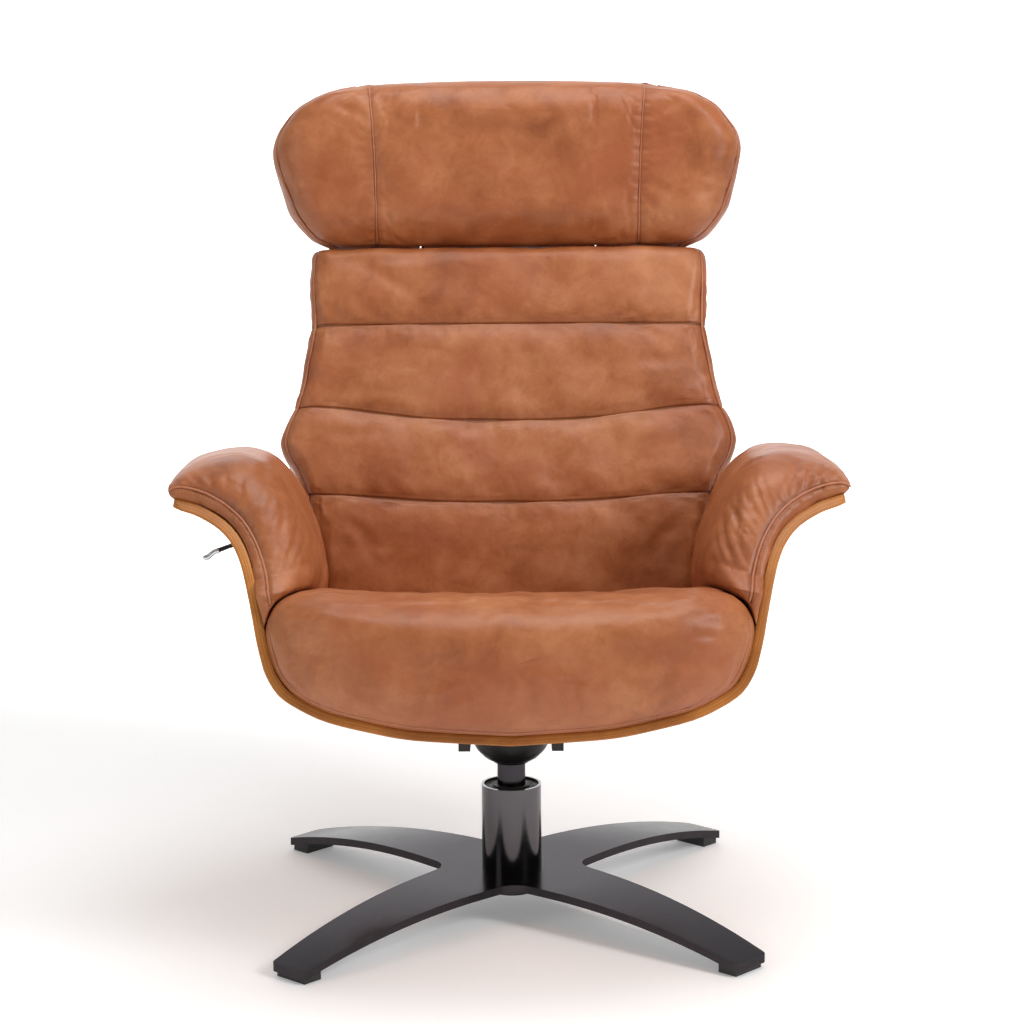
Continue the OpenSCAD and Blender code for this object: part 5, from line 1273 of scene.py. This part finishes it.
def build_head():
    """Headrest cushion: two seams front and rear, a welt round each ear, folds off the welts."""
    rings = head_rings()
    form = Form(rings, zipped_skin(rings, rings.shape[1] - HEAD_ARC // 2))
    seams = [head_seam(side, face, 60) for face in (-1, 1) for side in (-1, 1)]
    welts = [ear_welt(side) for side in (-1, 1)]
    row = np.arange(form.rows)
    body = np.repeat(np.clip(np.minimum(row, form.rows - 1 - row) / HEAD_FADE, 0, 1) ** 2, form.cols)
    # Its foot and its top are pinned, with the seams and the welts
    form.puff(lambda v: close_to(v, seams + welts, 5) | (v[:, 2] < -54) | (v[:, 2] > 160),
              rows=60, cols=130, most=1.1, grow=0.025, clear=seams + welts, mask=body)
    for i, path in enumerate(seams):
        form.pull(path, 2.2, 7.0, pucker=0.45, sharp=1.0, seed=1 + 2 * i, shade_share=0.6)
    for i, path in enumerate(welts):
        form.pull(path, 1.6, 5.0, pucker=0.5, sharp=1.1, seed=8 + 2 * i)
    form.ripple(1.1, 130, 61, body)
    form.ripple(0.5, 52, 63, body)
    for side in (-1, 1):
        for *points, deep in HEAD_FOLDS:
            form.fold(curve(*points) * [side, 1, 1], deep, 6)
    for x, z, deep in ((-60, -30, 1.0), (10, -34, 1.3), (70, -28, 1.0), (-130, -26, 0.9)):
        form.fold(curve((x, -48, z), (x + 14, -56, z + 22), (x + 10, -58, z + 44)), deep, 8)
    for path in seams:
        form.cord(path[8:], r=1.1, lift=0.5)
    for path in welts:
        form.cord(path, r=1.8, lift=0.8)
    cut_slots(form, rings)
    form.build("headrest_leather", in_head, "headrest", "headrest_cushion")


# Shell edge strip
STRIP_OUT, STRIP_IN, STRIP_SIDE = 1.6, 0.8, 0.2


def build_edge():
    """A closed strip over the shell's cut edge, front and rear.

    Across it, a bulge by a fourth power with a flat back inside the ply. Along it, the outline. Its UV
    map gives the metres along it and the share across it.
    """
    parts, uvs = [], []
    base = shell_line(SHELL_T / 2)
    base = even(np.vstack([(base * [-1, 1])[:0:-1], base]), 3.0)
    t = unit(np.gradient(base, axis=0))
    u = np.linspace(0, 1, 11)
    bulge = STRIP_OUT * np.clip(1 - (2 * u - 1) ** 4, 0, 1) ** 0.5 - STRIP_SIDE
    across, lift = np.append(u, [1, 0]), np.append(bulge, [-STRIP_IN, -STRIP_IN])
    aside = (across - 0.5) * (SHELL_T - 2 * STRIP_SIDE)
    q = base[:, None] + np.stack([-t[:, 1], t[:, 0]], -1)[:, None] * aside[None, :, None]
    chart = np.stack([np.repeat(along(base) * MM, len(across)), np.tile(across, len(base))], -1)
    x, z = q[..., 0], q[..., 1]
    for edge, sign in ((front_edge, -1), (rear_edge, 1)):
        v, quads, tris = closed_skin(np.stack([x, edge(x, z) + sign * lift, z], -1))
        parts.append((v, *outward(v, quads, tris)))
        uvs.append(np.vstack([chart, chart[0], chart[-1]]))
    v, quads, tris = join(parts)
    piece = make("shell_edge", in_seat(v), quads, tris, ply_edge, uv=np.vstack(uvs))
    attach(piece, "seat")


# Lever
LEVER_Y = 24.0


def lever_line(points):
    """A smooth line in the lever's plane from pairs of x and z."""
    p = np.array(points, float)
    return smooth(np.stack([p[:, 0], np.full(len(p), LEVER_Y), p[:, 1]], -1), 6)


def build_lever():
    """A bent bar with a chrome tip: tubes along smooth lines, over the plain lever of the frame."""
    hub = np.array([[-343, LEVER_Y - 4.5 + k, 207] for k in (0, 0.4, 8.6, 9)])
    bar = lever_line([[-343, 207], [-352, 207.5], [-362, 206.4], [-372, 203.6], [-381, 200.4],
                      [-388.5, 197.4]])
    tip = lever_line([[-387.5, 197.8], [-392, 196.6], [-396.5, 193.4], [-400.5, 190.0], [-404.5, 188.2],
                      [-407.5, 187.9]])
    ring = lever_line([[-387.0, 198.0], [-387.3, 197.9], [-389.2, 197.1], [-389.5, 197.0]])
    wide = np.interp(np.linspace(0, 1, len(tip)), [0, 0.3, 0.8, 1], [3.0, 3.6, 4.0, 3.4])
    bars = [tube(hub, [6.4, 7, 7, 6.4], 28), tube(bar, 3.0, 20)]
    tips = [tube(ring, 4.1, 24), tube(tip, wide, 24)]
    for name, parts, material, slot, node in (
            ("lever_bar", bars, blacksteel, "black_paint", "lever_arm"),
            ("lever_tip", tips, chrome, "chrome", "lever_grip")):
        v, quads, tris = join(parts)
        piece = make(name, in_seat(v), quads, tris, material)
        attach(piece, "lever")
        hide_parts(node)


build_seat()
build_pad(-1)
build_pad(1)
build_back()
build_cover()
build_head()
build_edge()
build_lever()

# Stage, light and camera
pale = Finish("studio_pale", Emission_Color=(1, 1, 1, 1), Emission_Strength=0.2)
cloud = pale.noise(2.0, 2.0)
white = pale.blend(cloud.span(0.3, 0.7), (0.93, 0.93, 0.93, 1), (0.96, 0.96, 0.96, 1))
pale = pale.use(white, cloud.span(0.3, 0.7, 0.85, 0.95), pale.relief(pale.noise(30.0), 0.0005, 0.05))
# The floor runs back, turns up in a quarter circle behind the chair and ends as a wall, in metres
STAGE_REACH, BEND_START, BEND_R, FLOOR_DROP = 9.0, 3.0, 2.5, 0.0005
turn = np.linspace(0, math.pi / 2, 40)
bend = np.stack([BEND_START + BEND_R * np.sin(turn), BEND_R * (1 - np.cos(turn))], -1)
sweep = np.concatenate([[[-STAGE_REACH, 0.0]], bend, [[BEND_START + BEND_R, STAGE_REACH]]])
stage_v = np.stack([np.tile(np.linspace(-STAGE_REACH, STAGE_REACH, 3), len(sweep)),
                    np.repeat(sweep[:, 0], 3), np.repeat(sweep[:, 1], 3) - FLOOR_DROP], -1)
make("studio_floor", stage_v, grid(len(sweep), 3, False), NO_TRIS, pale)

world = bpy.data.worlds.new("studio")
bpy.context.scene.world = world
world.use_nodes = True
sky = world.node_tree.nodes["Background"]
sky.inputs["Color"].default_value = (1.0, 1.0, 1.0, 1)
sky.inputs["Strength"].default_value = 0.27


def lamp(name, where, at, size, power):
    """A soft box at a place, turned towards another."""
    data = bpy.data.lights.new(name, "AREA")
    data.shape, data.energy = "RECTANGLE", power
    data.size, data.size_y = size
    box = bpy.data.objects.new(name, data)
    box.location = where
    box.rotation_euler = (Vector(where) - Vector(at)).to_track_quat("Z", "Y").to_euler()
    bpy.context.collection.objects.link(box)


lamp("key", (2.8, -2.2, 2.6), (0, 0, 0.6), (1.0, 1.4), 78)
lamp("fill", (-2.9, -2.2, 1.7), (0, 0, 0.6), (1.2, 1.7), 18)
lamp("top", (0.2, -0.2, 3.0), (0, 0, 0.5), (1.8, 1.8), 42)
lamp("back", (-0.8, 2.4, 2.6), (0, 6, 0.6), (3.5, 1.5), 160)

# The camera fitted to the photo: its focal length in pixels of a frame 1024 wide, place, pitch and roll
FOCAL, FRAME_WIDTH, SENSOR = 2866, 1024, 36
CAMERA_PLACE, PITCH_DOWN, ROLL = (0.0032, -3.7, 1.2071), 10.27, -0.38
camera_data = bpy.data.cameras.new("camera")
camera_data.sensor_width = SENSOR
camera_data.lens = FOCAL / FRAME_WIDTH * SENSOR
camera_data.clip_end = 60
camera = bpy.data.objects.new("camera", camera_data)
pitch = Euler((math.radians(90 - PITCH_DOWN), 0, 0)).to_matrix().to_4x4()
aim = pitch @ Matrix.Rotation(math.radians(ROLL), 4, "Z")
camera.matrix_world = Matrix.Translation(CAMERA_PLACE) @ aim
bpy.context.collection.objects.link(camera)
bpy.context.scene.camera = camera
bpy.context.scene.view_settings.view_transform = "Standard"
